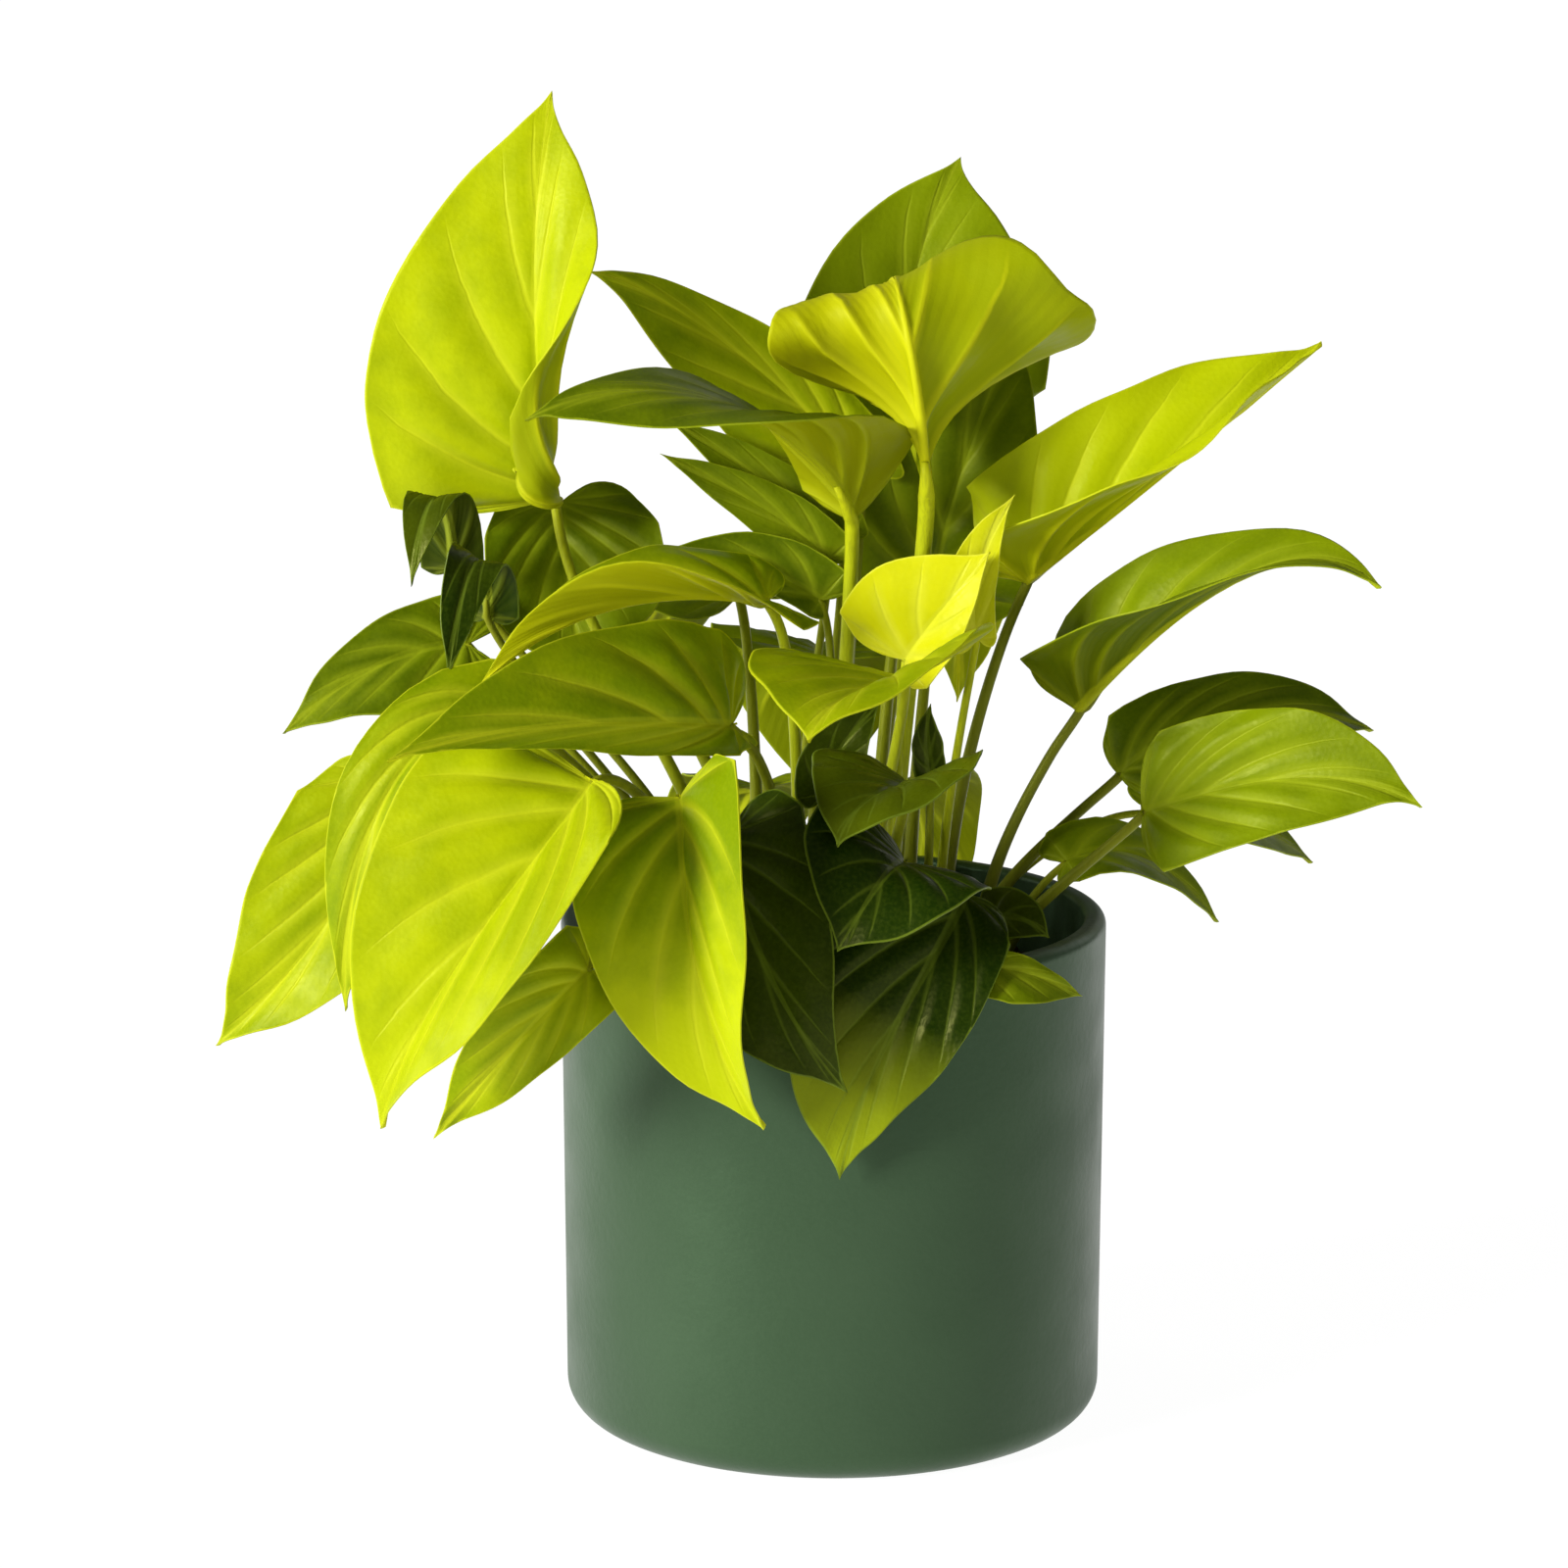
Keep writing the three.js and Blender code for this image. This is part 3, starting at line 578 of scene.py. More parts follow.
@dataclass
class Pot:
    """The pot: one thick-walled turned shell with a flat base and a rounded rim.

    Attributes:
        radius: its radius at the rim, mm.
        foot_radius: its radius at the foot, mm.
        height: its height, mm.
        wall: its wall's thickness, mm.
        floor: its floor's thickness, mm.
        rim_round: the rounding of the rim, mm.
        base_round: the rounding of the foot, mm.
        draft: how much narrower it is inside at the floor than under the rim, mm.
        sides: how many steps it takes round.
    """

    radius: float = 80
    foot_radius: float = 79.2
    height: float = 150
    wall: float = 6.5
    floor: float = 9
    rim_round: float = 3.2
    base_round: float = 9
    draft: float = 0.4
    sides: int = 160

    def profile(self) -> list[tuple[float, float]]:
        """Give the wall's section, from the middle of the base round to the middle of the floor."""
        inner = self.radius - self.wall
        lip = self.rim_round * 0.6
        line = [(0.0, 0.0), (self.foot_radius * 0.45, 0.0)]

        def arc(middle: tuple[float, float], size: float, start: float, end: float, steps: int) -> None:
            """Run the line on round an arc, from one angle in degrees to another."""
            for k in range(steps + 1):
                angle = math.radians(start + (end - start) * k / steps)
                line.append((middle[0] + size * math.cos(angle), middle[1] + size * math.sin(angle)))

        arc((self.foot_radius - self.base_round, self.base_round), self.base_round, -90, 0, 12)
        for share in (0.25, 0.5, 0.75):
            width = self.foot_radius + (self.radius - self.foot_radius) * share
            line.append((width, self.base_round + (self.height - self.base_round - self.rim_round) * share))
        arc((self.radius - self.rim_round, self.height - self.rim_round), self.rim_round, 0, 90, 9)
        arc((inner + lip, self.height - lip), lip, 90, 180, 7)
        line.append((inner - self.draft / 2, self.height * 0.5))
        corner = inner - self.draft - self.base_round
        arc((corner, self.floor + self.base_round), self.base_round, 0, -90, 8)
        line.append((0.0, self.floor))
        return line

    def build(self, glaze: bpy.types.Material) -> bpy.types.Object:
        """Turn the section round into the pot.

        Args:
            glaze: its material.

        Returns:
            The pot, which stands for its node.
        """
        parts = MeshParts()
        angle = 2 * math.pi * np.arange(self.sides) / self.sides
        rings = []
        for width, height in self.profile():
            ring = np.stack([width * np.cos(angle), width * np.sin(angle), np.full(self.sides, height)], 1)
            rings.append(parts.add_ring(ring if width else np.array([[0.0, 0.0, height]]), self.sides))
        parts.join_rings(rings)
        piece = parts.build("glazed_pot", [glaze])
        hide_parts("pot")
        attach(piece, "root")
        return piece


@dataclass
class Soil:
    """The soil in the pot: a low uneven mound under loose crumbs.

    Attributes:
        pot: the pot that holds it.
        edge_depth: how far its edge lies under the rim, mm.
        mound: how far its middle rises over its edge, mm.
        gap: the play between it and the pot, mm.
        rings: how many rings its top has.
        sides: how many steps it takes round.
        crumbs: how many crumbs lie on a square metre.
        seed: the seed of the crumbs' places and sizes.
        smallest: the radius of the smallest crumbs before they are squashed, mm.
        largest: the radius of the largest ones, mm.
        upward: the least upward part of the normals where crumbs lie.
    """

    pot: Pot
    edge_depth: float = 24
    mound: float = 5
    gap: float = 0.3
    rings: int = 34
    sides: int = 96
    crumbs: float = 110000
    seed: int = 7
    smallest: float = 0.7
    largest: float = 1.9
    upward: float = 0.6

    @property
    def radius(self) -> float:
        """Its radius in the pot, mm."""
        return self.pot.radius - self.pot.wall - self.pot.draft - self.gap

    def top(self, x: np.ndarray, y: np.ndarray) -> np.ndarray:
        """Give the height of its top over the ground at a place, mm."""
        share = np.hypot(x, y) / (self.pot.radius - self.pot.wall)
        return self.pot.height - self.edge_depth + self.mound * (1 - share * share)

    def uneven(self, x: np.ndarray, y: np.ndarray) -> np.ndarray:
        """Give the small hills and dips of its top at a place, mm."""
        hills = np.sin(x * 0.21 + 1.3 * np.sin(y * 0.13)) * np.cos(y * 0.24 + 0.7 * np.sin(x * 0.17))
        return 0.9 * hills + 0.35 * np.sin(x * 0.83 + y * 0.41) * np.sin(y * 0.77 - x * 0.36)

    def body(self) -> MeshParts:
        """Shape the mound and the part of it that fills the pot."""
        parts = MeshParts()
        floor = self.pot.floor + self.gap
        base = self.pot.base_round
        angle = 2 * math.pi * np.arange(self.sides) / self.sides
        rings = [parts.add_ring(np.array([[0.0, 0.0, floor]]), self.sides)]

        def add(width: float, height: float | None) -> None:
            """Add a ring of a width at a height, or on the uneven top where no height is given."""
            x, y = width * np.cos(angle), width * np.sin(angle)
            calm = 1 - smooth_step(0.9, 1.0, np.hypot(x, y) / self.radius)
            z = self.top(x, y) + calm * self.uneven(x, y) if height is None else np.full(self.sides, height)
            rings.append(parts.add_ring(np.stack([x, y, z], 1), self.sides))

        add(self.radius - base, floor)
        add(self.radius, floor + base)
        for k in range(self.rings):
            add(self.radius * (1 - k / self.rings), None)
        middle = np.zeros(1)
        height = self.top(middle, middle) + self.uneven(middle, middle)
        rings.append(parts.add_ring(np.stack([middle, middle, height], 1), self.sides))
        parts.join_rings(rings)
        return parts

    def crumb_tree(self, finish: bpy.types.Material) -> tuple[bpy.types.GeometryNodeTree, dict[str, str]]:
        """Build the node tree that strews crumbs where the normals look up.

        The normals are smoothed ones, so crumbs lie on the soil's side too, hidden in the pot's wall.

        Args:
            finish: the soil's material.

        Returns:
            The tree, and its inputs' identifiers by name.
        """
        tree = bpy.data.node_groups.new("soil_crumbs", "GeometryNodeTree")
        tree.interface.new_socket("Geometry", in_out="INPUT", socket_type="NodeSocketGeometry")
        names = {}
        for name, kind in (
            ("Crumbs per square metre", "NodeSocketFloat"),
            ("Smallest", "NodeSocketFloat"),
            ("Largest", "NodeSocketFloat"),
            ("Seed", "NodeSocketInt"),
        ):
            names[name] = tree.interface.new_socket(name, in_out="INPUT", socket_type=kind).identifier
        tree.interface.new_socket("Geometry", in_out="OUTPUT", socket_type="NodeSocketGeometry")
        put, join = tree.nodes.new, tree.links.new
        given, result = put("NodeGroupInput"), put("NodeGroupOutput")
        normal = put("GeometryNodeInputNormal")
        split, upward = put("ShaderNodeSeparateXYZ"), put("FunctionNodeCompare")
        upward.inputs[1].default_value = self.upward
        strew = put("GeometryNodeDistributePointsOnFaces")
        crumb, place = put("GeometryNodeMeshIcoSphere"), put("GeometryNodeInstanceOnPoints")
        crumb.inputs["Radius"].default_value = 1.0
        crumb.inputs["Subdivisions"].default_value = 1
        size, turn, squash = (put("FunctionNodeRandomValue") for _ in range(3))
        turn.data_type = squash.data_type = "FLOAT_VECTOR"
        turn.inputs[1].default_value = (math.tau, math.tau, math.tau)
        squash.inputs[0].default_value = (0.6, 0.6, 0.4)
        squash.inputs[1].default_value = (1.3, 1.3, 0.9)
        scale, real = put("ShaderNodeVectorMath"), put("GeometryNodeRealizeInstances")
        scale.operation = "SCALE"
        rough, centre, shift, move = (
            put("ShaderNodeTexNoise"),
            put("ShaderNodeVectorMath"),
            put("ShaderNodeVectorMath"),
            put("GeometryNodeSetPosition"),
        )
        rough.inputs["Scale"].default_value = 900.0
        centre.inputs[1].default_value = (0.5, 0.5, 0.5)
        centre.operation = "SUBTRACT"
        shift.operation = "SCALE"
        shift.inputs["Scale"].default_value = 0.0014
        both, dress = put("GeometryNodeJoinGeometry"), put("GeometryNodeSetMaterial")
        dress.inputs["Material"].default_value = finish
        join(given.outputs["Geometry"], strew.inputs["Mesh"])
        join(given.outputs["Crumbs per square metre"], strew.inputs["Density"])
        join(given.outputs["Seed"], strew.inputs["Seed"])
        join(normal.outputs[0], split.inputs[0])
        join(split.outputs[2], upward.inputs[0])
        join(upward.outputs[0], strew.inputs["Selection"])
        join(strew.outputs["Points"], place.inputs["Points"])
        join(crumb.outputs["Mesh"], place.inputs["Instance"])
        join(given.outputs["Smallest"], size.inputs[2])
        join(given.outputs["Largest"], size.inputs[3])
        for random in (size, turn, squash):
            join(given.outputs["Seed"], random.inputs["Seed"])
        join(turn.outputs[0], place.inputs["Rotation"])
        join(squash.outputs[0], scale.inputs[0])
        join(size.outputs[1], scale.inputs["Scale"])
        join(scale.outputs[0], place.inputs["Scale"])
        join(rough.outputs["Color"], centre.inputs[0])
        join(centre.outputs[0], shift.inputs[0])
        join(place.outputs[0], real.inputs[0])
        join(real.outputs[0], move.inputs["Geometry"])
        join(shift.outputs[0], move.inputs["Offset"])
        join(given.outputs["Geometry"], both.inputs[0])
        join(move.outputs[0], both.inputs[0])
        whole = put("GeometryNodeRealizeInstances")
        join(both.outputs[0], whole.inputs[0])
        join(whole.outputs[0], dress.inputs["Geometry"])
        join(dress.outputs[0], result.inputs[0])
        return tree, names

    def build(self, finish: bpy.types.Material) -> bpy.types.Object:
        """Make the soil and strew its crumbs.

        Args:
            finish: its material.

        Returns:
            The soil, which stands for its node.
        """
        piece = self.body().build("crumbly_soil", [finish])
        tree, names = self.crumb_tree(finish)
        strew = piece.modifiers.new("crumbs", "NODES")
        strew.node_group = tree
        strew[names["Crumbs per square metre"]] = self.crumbs
        strew[names["Smallest"]] = self.smallest * METRES
        strew[names["Largest"]] = self.largest * METRES
        strew[names["Seed"]] = self.seed
        seen = piece.evaluated_get(bpy.context.evaluated_depsgraph_get())
        mesh = bpy.data.meshes.new_from_object(seen)
        piece.modifiers.remove(strew)
        piece.data = mesh
        mesh.materials.clear()
        mesh.materials.append(finish)
        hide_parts("soil")
        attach(piece, "root")
        return piece


class Rib:
    """A blade's middle rib: a Bezier curve walked by its length, and the way the blade faces."""

    STEPS = 64

    def __init__(self, points: tuple[Point, ...], faces: tuple[Point, Point]) -> None:
        """Measure the curve.

        Args:
            points: its four control points, mm.
            faces: the way that the upper face looks at the base and at the tip.
        """
        self.points = np.array(points, dtype=float)
        self.faces = np.array(faces, dtype=float)
        self.steps = np.linspace(0, 1, self.STEPS + 1)
        places, _ = bezier(self.points, self.steps)
        lengths = np.linalg.norm(np.diff(places, axis=0), axis=1)
        self.reach = np.concatenate([[0], np.cumsum(lengths)])
        self.length = float(self.reach[-1])

    def frame(self, u: np.ndarray) -> tuple[np.ndarray, np.ndarray, np.ndarray]:
        """Find the rib's places and directions at shares of its length.

        Args:
            u: the shares. Behind the stalk, under 0, the rib runs on straight.

        Returns:
            The places, the sideways directions and the facing directions.
        """
        near = np.clip(u, 0, 1)
        place, forward = bezier(self.points, np.interp(near * self.length, self.reach, self.steps))
        place = place + forward * (np.minimum(u, 0) * self.length)[:, None]
        face = self.faces[0] + (self.faces[1] - self.faces[0]) * near[:, None]
        face = unit(face - forward * np.sum(face * forward, axis=1, keepdims=True))
        return place, np.cross(forward, face), face


@dataclass(frozen=True)
class LeafSize:
    """What full-grown and small leaves differ in, apart from their outlines.

    Attributes:
        scale: the size of its stalk and rib, as a share of a full-grown leaf's.
        veins: its main side veins in each half.
        wave: how far its margin waves up and down, mm.
        quilt: how far the blade swells between its veins, mm.
    """

    scale: float
    veins: int
    wave: float
    quilt: float


FULL_SIZE = LeafSize(1.0, 9, 0.9, 1.5)
SMALL_SIZE = LeafSize(0.75, 6, 0.35, 0.6)


@dataclass(frozen=True)
class Half:
    """One half of a blade, to one side of its rib.

    Attributes:
        width: its width, mm.
        fold: how far it is folded up from flat at the base, middle and tip, degrees.
        curl: how far it turns on towards its edge there, degrees.
        slant: how far its edge is pushed towards the tip, mm.
    """

    width: float
    fold: tuple[float, float, float] = (12, 12, 6)
    curl: tuple[float, float, float] = (0, 0, 0)
    slant: float = 0


@dataclass
class Leaf:
    """One grown piece: a heart-shaped blade and the stalk that carries it out of the soil.

    Attributes:
        node: the node that it stands for.
        tint: its colour.
        size: whether it is full-grown or small.
        lobe: how far its lobes reach behind the stalk, mm.
        root: where it leaves the soil, mm.
        bend: the point that its stalk leans towards, mm.
        rib: the control points of its rib, mm.
        faces: the way that its upper face looks, at the base and at the tip.
        left: its left half.
        right: its right half.
        tone: how light its upper face is, where 0 is its tint's deep colour and 1 the bright one. Set leaf by
            leaf, it is partly the leaf's own shade of green and partly painted light and shade.
        tip: how much lighter than the base its tip is, on the same scale. On the front leaves it paints
            shadow towards the base and light towards the tip.
        painted_half_light: how much lighter its right half is than its left half, on the same scale: painted
            light and shade, as the light falls on the two halves.
        under: how light its underside is, from its tint's deep colour to the one for undersides. Set leaf by
            leaf, it is partly the underside's own shade and partly painted light and shade.
        stalk: how light its stalk is, from the colour of the darkest stalks to that of the others, set stalk
            by stalk.
        quilt: how much more than others it is quilted between the veins.
        wave: how much more than others its margin waves.
        neck: the radius of a full-grown leaf's stalk under the blade, mm.
    """

    node: str
    tint: Tint
    size: LeafSize
    lobe: float
    root: tuple[float, float]
    bend: Point
    rib: tuple[Point, Point, Point, Point]
    faces: tuple[Point, Point]
    left: Half
    right: Half
    tone: float = 0.5
    tip: float = 0.0
    painted_half_light: float = 0.0
    under: float = 0.45
    stalk: float = 0.45
    quilt: float = 1.0
    wave: float = 1.0
    neck: float = 1.5

    # Half the outline, from the notch round the lobe to the tip: shares of the width and length,
    # and where the side vein that ends there leaves the rib.
    OUTLINE = (
        (0.0, 0.0, 0.0),
        (0.3, -0.82, 0.0),
        (0.62, -1.0, 0.0),
        (0.9, -0.25, 0.0),
        (1.0, 0.17, 0.015),
        (0.95, 0.36, 0.05),
        (0.76, 0.56, 0.13),
        (0.46, 0.75, 0.28),
        (0.19, 0.88, 0.5),
        (0.06, 0.95, 0.74),
        (0.0, 1.0, 1.0),
    )
    CELL = (0.0, 0.05, 0.13, 0.28, 0.5, 0.72, 0.87, 0.95)
    COLUMNS = (0, 0.012, 0.03, 0.06, 0.11, 0.18, 0.27, 0.37, 0.48, 0.59, 0.7, 0.8, 0.88, 0.94, 0.98, 1)
    VEIN_REACH = 0.62
    VEIN_RISE = 0.4
    THICKNESS = 0.8
    FOOT = 2.4
    HOLE_DEPTH = 10
    STALK_SIDES = 12
    STALK_STEPS = 30
    # The spacing of the veins, mm, from which the quilting is full.
    FULL_ROOM = 9
    # How deep a full-grown blade's groove over the rib is, and how high the ridges under its veins
    # and the keel under its rib stand, mm.
    GROOVE = 0.3
    RIDGE = 0.8
    KEEL = 1.1
    # A distance, mm, at which neither the rib's mark nor the margin's shows.
    FAR_OFF = 50
    # How far the margin strays in the blade's plane, as a share of how far it waves up and down.
    STRAY = 0.65
    # The distance from the rib, mm, over which the painted light and shade between the halves sets in.
    PAINTED_HALF_REACH = 3
    # The share of the thickness that each face of the blade loses at the edge.
    EDGE_LOSS = 0.24
    # How high over the soil a stalk's curve starts, and the least height over which it goes straight up, mm.
    COLLAR = 1
    LEAST_CLIMB = 14

    @classmethod
    def outline(cls, s: np.ndarray) -> tuple[np.ndarray, np.ndarray, np.ndarray]:
        """Follow the outline smoothly through its points.

        Args:
            s: shares of the way round, from the notch to the tip.

        Returns:
            The shares of the width, of the length, and of the rib where the vein starts.
        """
        table = np.array(cls.OUTLINE)
        last = len(table) - 1
        place = np.clip(s, 0, 1) * last
        k = np.minimum(np.floor(place).astype(int), last - 1)
        f = (place - k)[:, None]
        before, here = table[np.maximum(k - 1, 0)], table[k]
        after, beyond = table[k + 1], table[np.minimum(k + 2, last)]
        rise, fall = (after - before) / 2, (beyond - here) / 2
        f2, f3 = f * f, f * f * f
        found = (2 * f3 - 3 * f2 + 1) * here + (f3 - 2 * f2 + f) * rise
        found = found + (3 * f2 - 2 * f3) * after + (f3 - f2) * fall
        return found[:, 0], found[:, 1], found[:, 2]

    def rows(self) -> np.ndarray:
        """Give the shares of the outline that have a row, close together at each vein."""
        veins = self.size.veins
        places = np.concatenate([(k + np.array(self.CELL)) / veins for k in range(veins)] + [[1.0]])
        return places[places > 0.012]

    def flat(self, half: Half, length: float) -> dict[str, np.ndarray]:
        """Lay out one half of the blade flat, row by row.

        Args:
            half: the half.
            length: the rib's length, mm.

        Returns:
            Arrays of rows by columns: the distance from the rib, the distance along it, the
            distance to the edge, how far apart the veins lie, and the place on the blade.
        """
        rows, columns = self.rows(), np.array(self.COLUMNS, dtype=float)
        across, forward, start = self.outline(rows)
        ripple = self.ripple(rows, half.width)
        edge_x = across * half.width + ripple
        reach = np.where(forward < 0, forward * self.lobe, forward * length)
        edge_y = np.minimum(reach + half.slant * across, length)
        start_y = start * length
        t = columns[None, :]
        mix = 2 * t * (1 - t)
        x = edge_x[:, None] * (mix * self.VEIN_REACH + t * t)
        bend_y = start_y + self.VEIN_RISE * (edge_y - start_y)
        y = (1 - t) ** 2 * start_y[:, None] + mix * bend_y[:, None] + t * t * edge_y[:, None]
        gap = np.hypot(x[:, :, None] - edge_x, y[:, :, None] - edge_y).min(axis=2)
        turn = rows * self.size.veins
        down = np.stack([np.gradient(x, turn, axis=0), np.gradient(y, turn, axis=0)], 2)
        out = unit(np.stack([np.gradient(x, columns, axis=1), np.gradient(y, columns, axis=1)], 2))
        spread = np.abs(down[:, :, 0] * out[:, :, 1] - down[:, :, 1] * out[:, :, 0])
        shape = x.shape
        return {
            "x": x,
            "y": y,
            "edge": gap,
            "spread": spread,
            "row": np.broadcast_to(turn[:, None], shape),
            "column": np.broadcast_to(t, shape),
        }

    def ripple(self, s: np.ndarray, start: float) -> np.ndarray:
        """Give how far the margin strays outwards, mm, at shares of the way round."""
        phase = self.root[0] * 0.61 + self.root[1] * 0.29 + start
        stray = np.sin(math.tau * 2.7 * s + phase) + 0.4 * np.sin(math.tau * 6.1 * s + 3 * phase)
        return self.STRAY * self.size.wave * self.wave * stray * np.sin(math.pi * np.clip(s, 0, 1)) ** 1.5

    def sheet(self, half: Half, sign: int, rib: Rib, flat: dict[str, np.ndarray]) -> np.ndarray:
        """Fold and curl one flat half in space.

        Args:
            half: the half.
            sign: -1 for the left half and 1 for the right one.
            rib: the blade's rib.
            flat: the half laid out flat.

        Returns:
            Its points, by row and column.
        """
        x, u = flat["x"].ravel(), flat["y"].ravel() / rib.length
        near = np.clip(u, 0, 1)
        first = np.radians(spread_along(half.fold, near))
        turn = np.radians(spread_along(half.curl, near)) / half.width
        turn = np.where(np.abs(turn) < 1e-6, 1e-6, turn)
        out = (np.sin(first + turn * x) - np.sin(first)) / turn
        rise = (np.cos(first) - np.cos(first + turn * x)) / turn
        place, side, face = rib.frame(u)
        points = place + side * (sign * out)[:, None] + face * rise[:, None]
        return points.reshape(*flat["x"].shape, 3)

    def relief(self, flat: dict[str, np.ndarray], sign: int) -> tuple[np.ndarray, np.ndarray]:
        """Shape the quilting between the veins and the ridges under them.

        Args:
            flat: one half laid out flat.
            sign: -1 for the left half and 1 for the right one.

        Returns:
            How far the blade swells towards its upper face, and how far its underside stands out.
        """
        near = np.abs(flat["row"] - np.round(flat["row"]))
        t, spread = flat["column"], flat["spread"]
        room = np.clip(spread / self.FULL_ROOM, 0, 1)
        inside = smooth_step(0.0, 0.14, t) * (1 - smooth_step(0.6, 0.96, t))
        turn = flat["row"] / self.size.veins
        swell = self.size.quilt * self.quilt * room**1.4 * inside
        swell = swell * np.sin(math.pi * np.clip(near, 0, 0.5)) ** 1.3
        swell = swell * (1 - smooth_step(0.55, 0.85, turn))
        phase = self.root[0] * 0.37 + self.root[1] * 0.53 + sign
        wave = np.sin(math.tau * (2.6 * turn) + phase) + 0.5 * np.sin(math.tau * 5.3 * turn + 2 * phase)
        swell = swell + self.size.wave * self.wave * wave * t**3 * np.sin(math.pi * np.clip(turn, 0, 1))
        along = np.clip(flat["y"] / max(float(flat["y"].max()), 1e-6), 0, 1)
        groove = np.exp(-((flat["x"] / 1.1) ** 2)) * (1 - along) ** 0.6
        swell = swell - self.GROOVE * self.size.scale * groove
        ridge = self.RIDGE * self.size.scale * np.exp(-((near * spread / 0.8) ** 2)) * (1 - t) ** 0.6
        keel = self.KEEL * self.size.scale * np.exp(-((flat["x"] / 1.0) ** 2)) * (1 - along) ** 0.7
        return swell, np.maximum(ridge * smooth_step(0, 0.05, t), keel)

    def blade_points(
        self,
        rib: Rib,
    ) -> tuple[np.ndarray, dict[str, np.ndarray], dict[int, tuple[np.ndarray, dict[str, np.ndarray]]]]:
        """Place the points of the blade's middle sheet. The two halves share those on the rib.

        Args:
            rib: the blade's rib.

        Returns:
            The points, their values by name, and for each half its grid of indices and its flat
            layout, by its sign.
        """
        grids = {}
        points = []
        data = {}
        seen = {}
        for half, sign in ((self.left, -1), (self.right, 1)):
            flat = self.flat(half, rib.length)
            place = self.sheet(half, sign, rib, flat)
            swell, ridge = self.relief(flat, sign)
            layers = {
                "x": flat["x"],
                "y": flat["y"],
                "edge": flat["edge"],
                "spread": flat["spread"],
                "swell": swell,
                "ridge": ridge,
                "t": flat["column"],
                # Which half a point lies on, for the painted light and shade between the halves.
                "side": sign * np.minimum(flat["x"] / self.PAINTED_HALF_REACH, 1),
            }
            rows, columns = flat["x"].shape
            grid = np.zeros((rows, columns), dtype=int)
            for i in range(rows):
                for j in range(columns):
                    shared = j == 0 or i == rows - 1
                    key = round(flat["y"][i, 0], 4) if shared else (sign, i, j)
                    if key not in seen:
                        seen[key] = len(points)
                        points.append(place[i, j])
                        for name, layer in layers.items():
                            data.setdefault(name, []).append(layer[i, j])
                    grid[i, j] = seen[key]
            grids[sign] = (grid, flat)
        held = {name: np.array(numbers) for name, numbers in data.items()}
        return np.array(points), held, grids

    def add_blade(self, parts: MeshParts, rib: Rib) -> None:
        """Add the blade as a thin closed sheet, thinner towards its edge.

        Args:
            parts: the mesh under way.
            rib: the blade's rib.
        """
        middle, held, grids = self.blade_points(rib)
        quads = []
        for sign, (grid, flat) in grids.items():
            for i in range(grid.shape[0] - 1):
                for j in range(grid.shape[1] - 1):
                    spots = [(i, j), (i, j + 1), (i + 1, j + 1), (i + 1, j)]
                    spots = spots if sign > 0 else spots[::-1]
                    quads.append([(grid[s], flat["row"][s], flat["column"][s]) for s in spots])
        ways = np.zeros_like(middle)
        for quad in quads:
            a, b, c, d = (corner[0] for corner in quad)
            way = np.cross(middle[c] - middle[a], middle[d] - middle[b])
            for corner in {a, b, c, d}:
                ways[corner] += way
        ways = unit(ways)
        half_depth = self.THICKNESS * (0.5 - self.EDGE_LOSS * held["t"] ** 2)
        middle = middle + ways * held["swell"][:, None]
        values = {
            "along": np.clip(held["y"] / rib.length, 0, 1),
            "rib_distance": held["x"],
            "edge_distance": held["edge"],
            "spread": held["spread"],
        }
        # Painted light and shade: one half is made lighter than the other, as the light falls on the two
        # halves.
        painted_half_shift = 0.5 * self.painted_half_light * held["side"]
        # The rise to the tip paints shadow towards the base and light towards the tip of the front leaves.
        light = self.tone + self.tip * values["along"] + painted_half_shift
        # The upper face's tone is partly the leaf's own shade of green and partly painted light and shade.
        upper = parts.add_points(middle + ways * half_depth[:, None], tone=light, **values)
        depth = half_depth + held["ridge"]
        # The underside's tone is partly its own shade and partly painted light and shade.
        under = parts.add_points(middle - ways * depth[:, None], tone=self.under + painted_half_shift, **values)
        for quad in quads:
            parts.add_face([(upper + c[0], c[1], c[2]) for c in quad], Surface.UPPER)
            turned = quad[:1] + quad[:0:-1]
            parts.add_face([(under + c[0], c[1], c[2]) for c in turned], Surface.UNDER)
        for sign, (grid, flat) in grids.items():
            rim = [(0, j) for j in range(grid.shape[1])]
            rim += [(i, grid.shape[1] - 1) for i in range(1, grid.shape[0])]
            rim = rim if sign > 0 else rim[::-1]
            for one, two in zip(rim, rim[1:]):
                spots = ((upper, one), (under, one), (under, two), (upper, two))
                corners = [(first + grid[s], flat["row"][s], flat["column"][s]) for first, s in spots]
                parts.add_face(corners, Surface.UPPER, smooth=False)

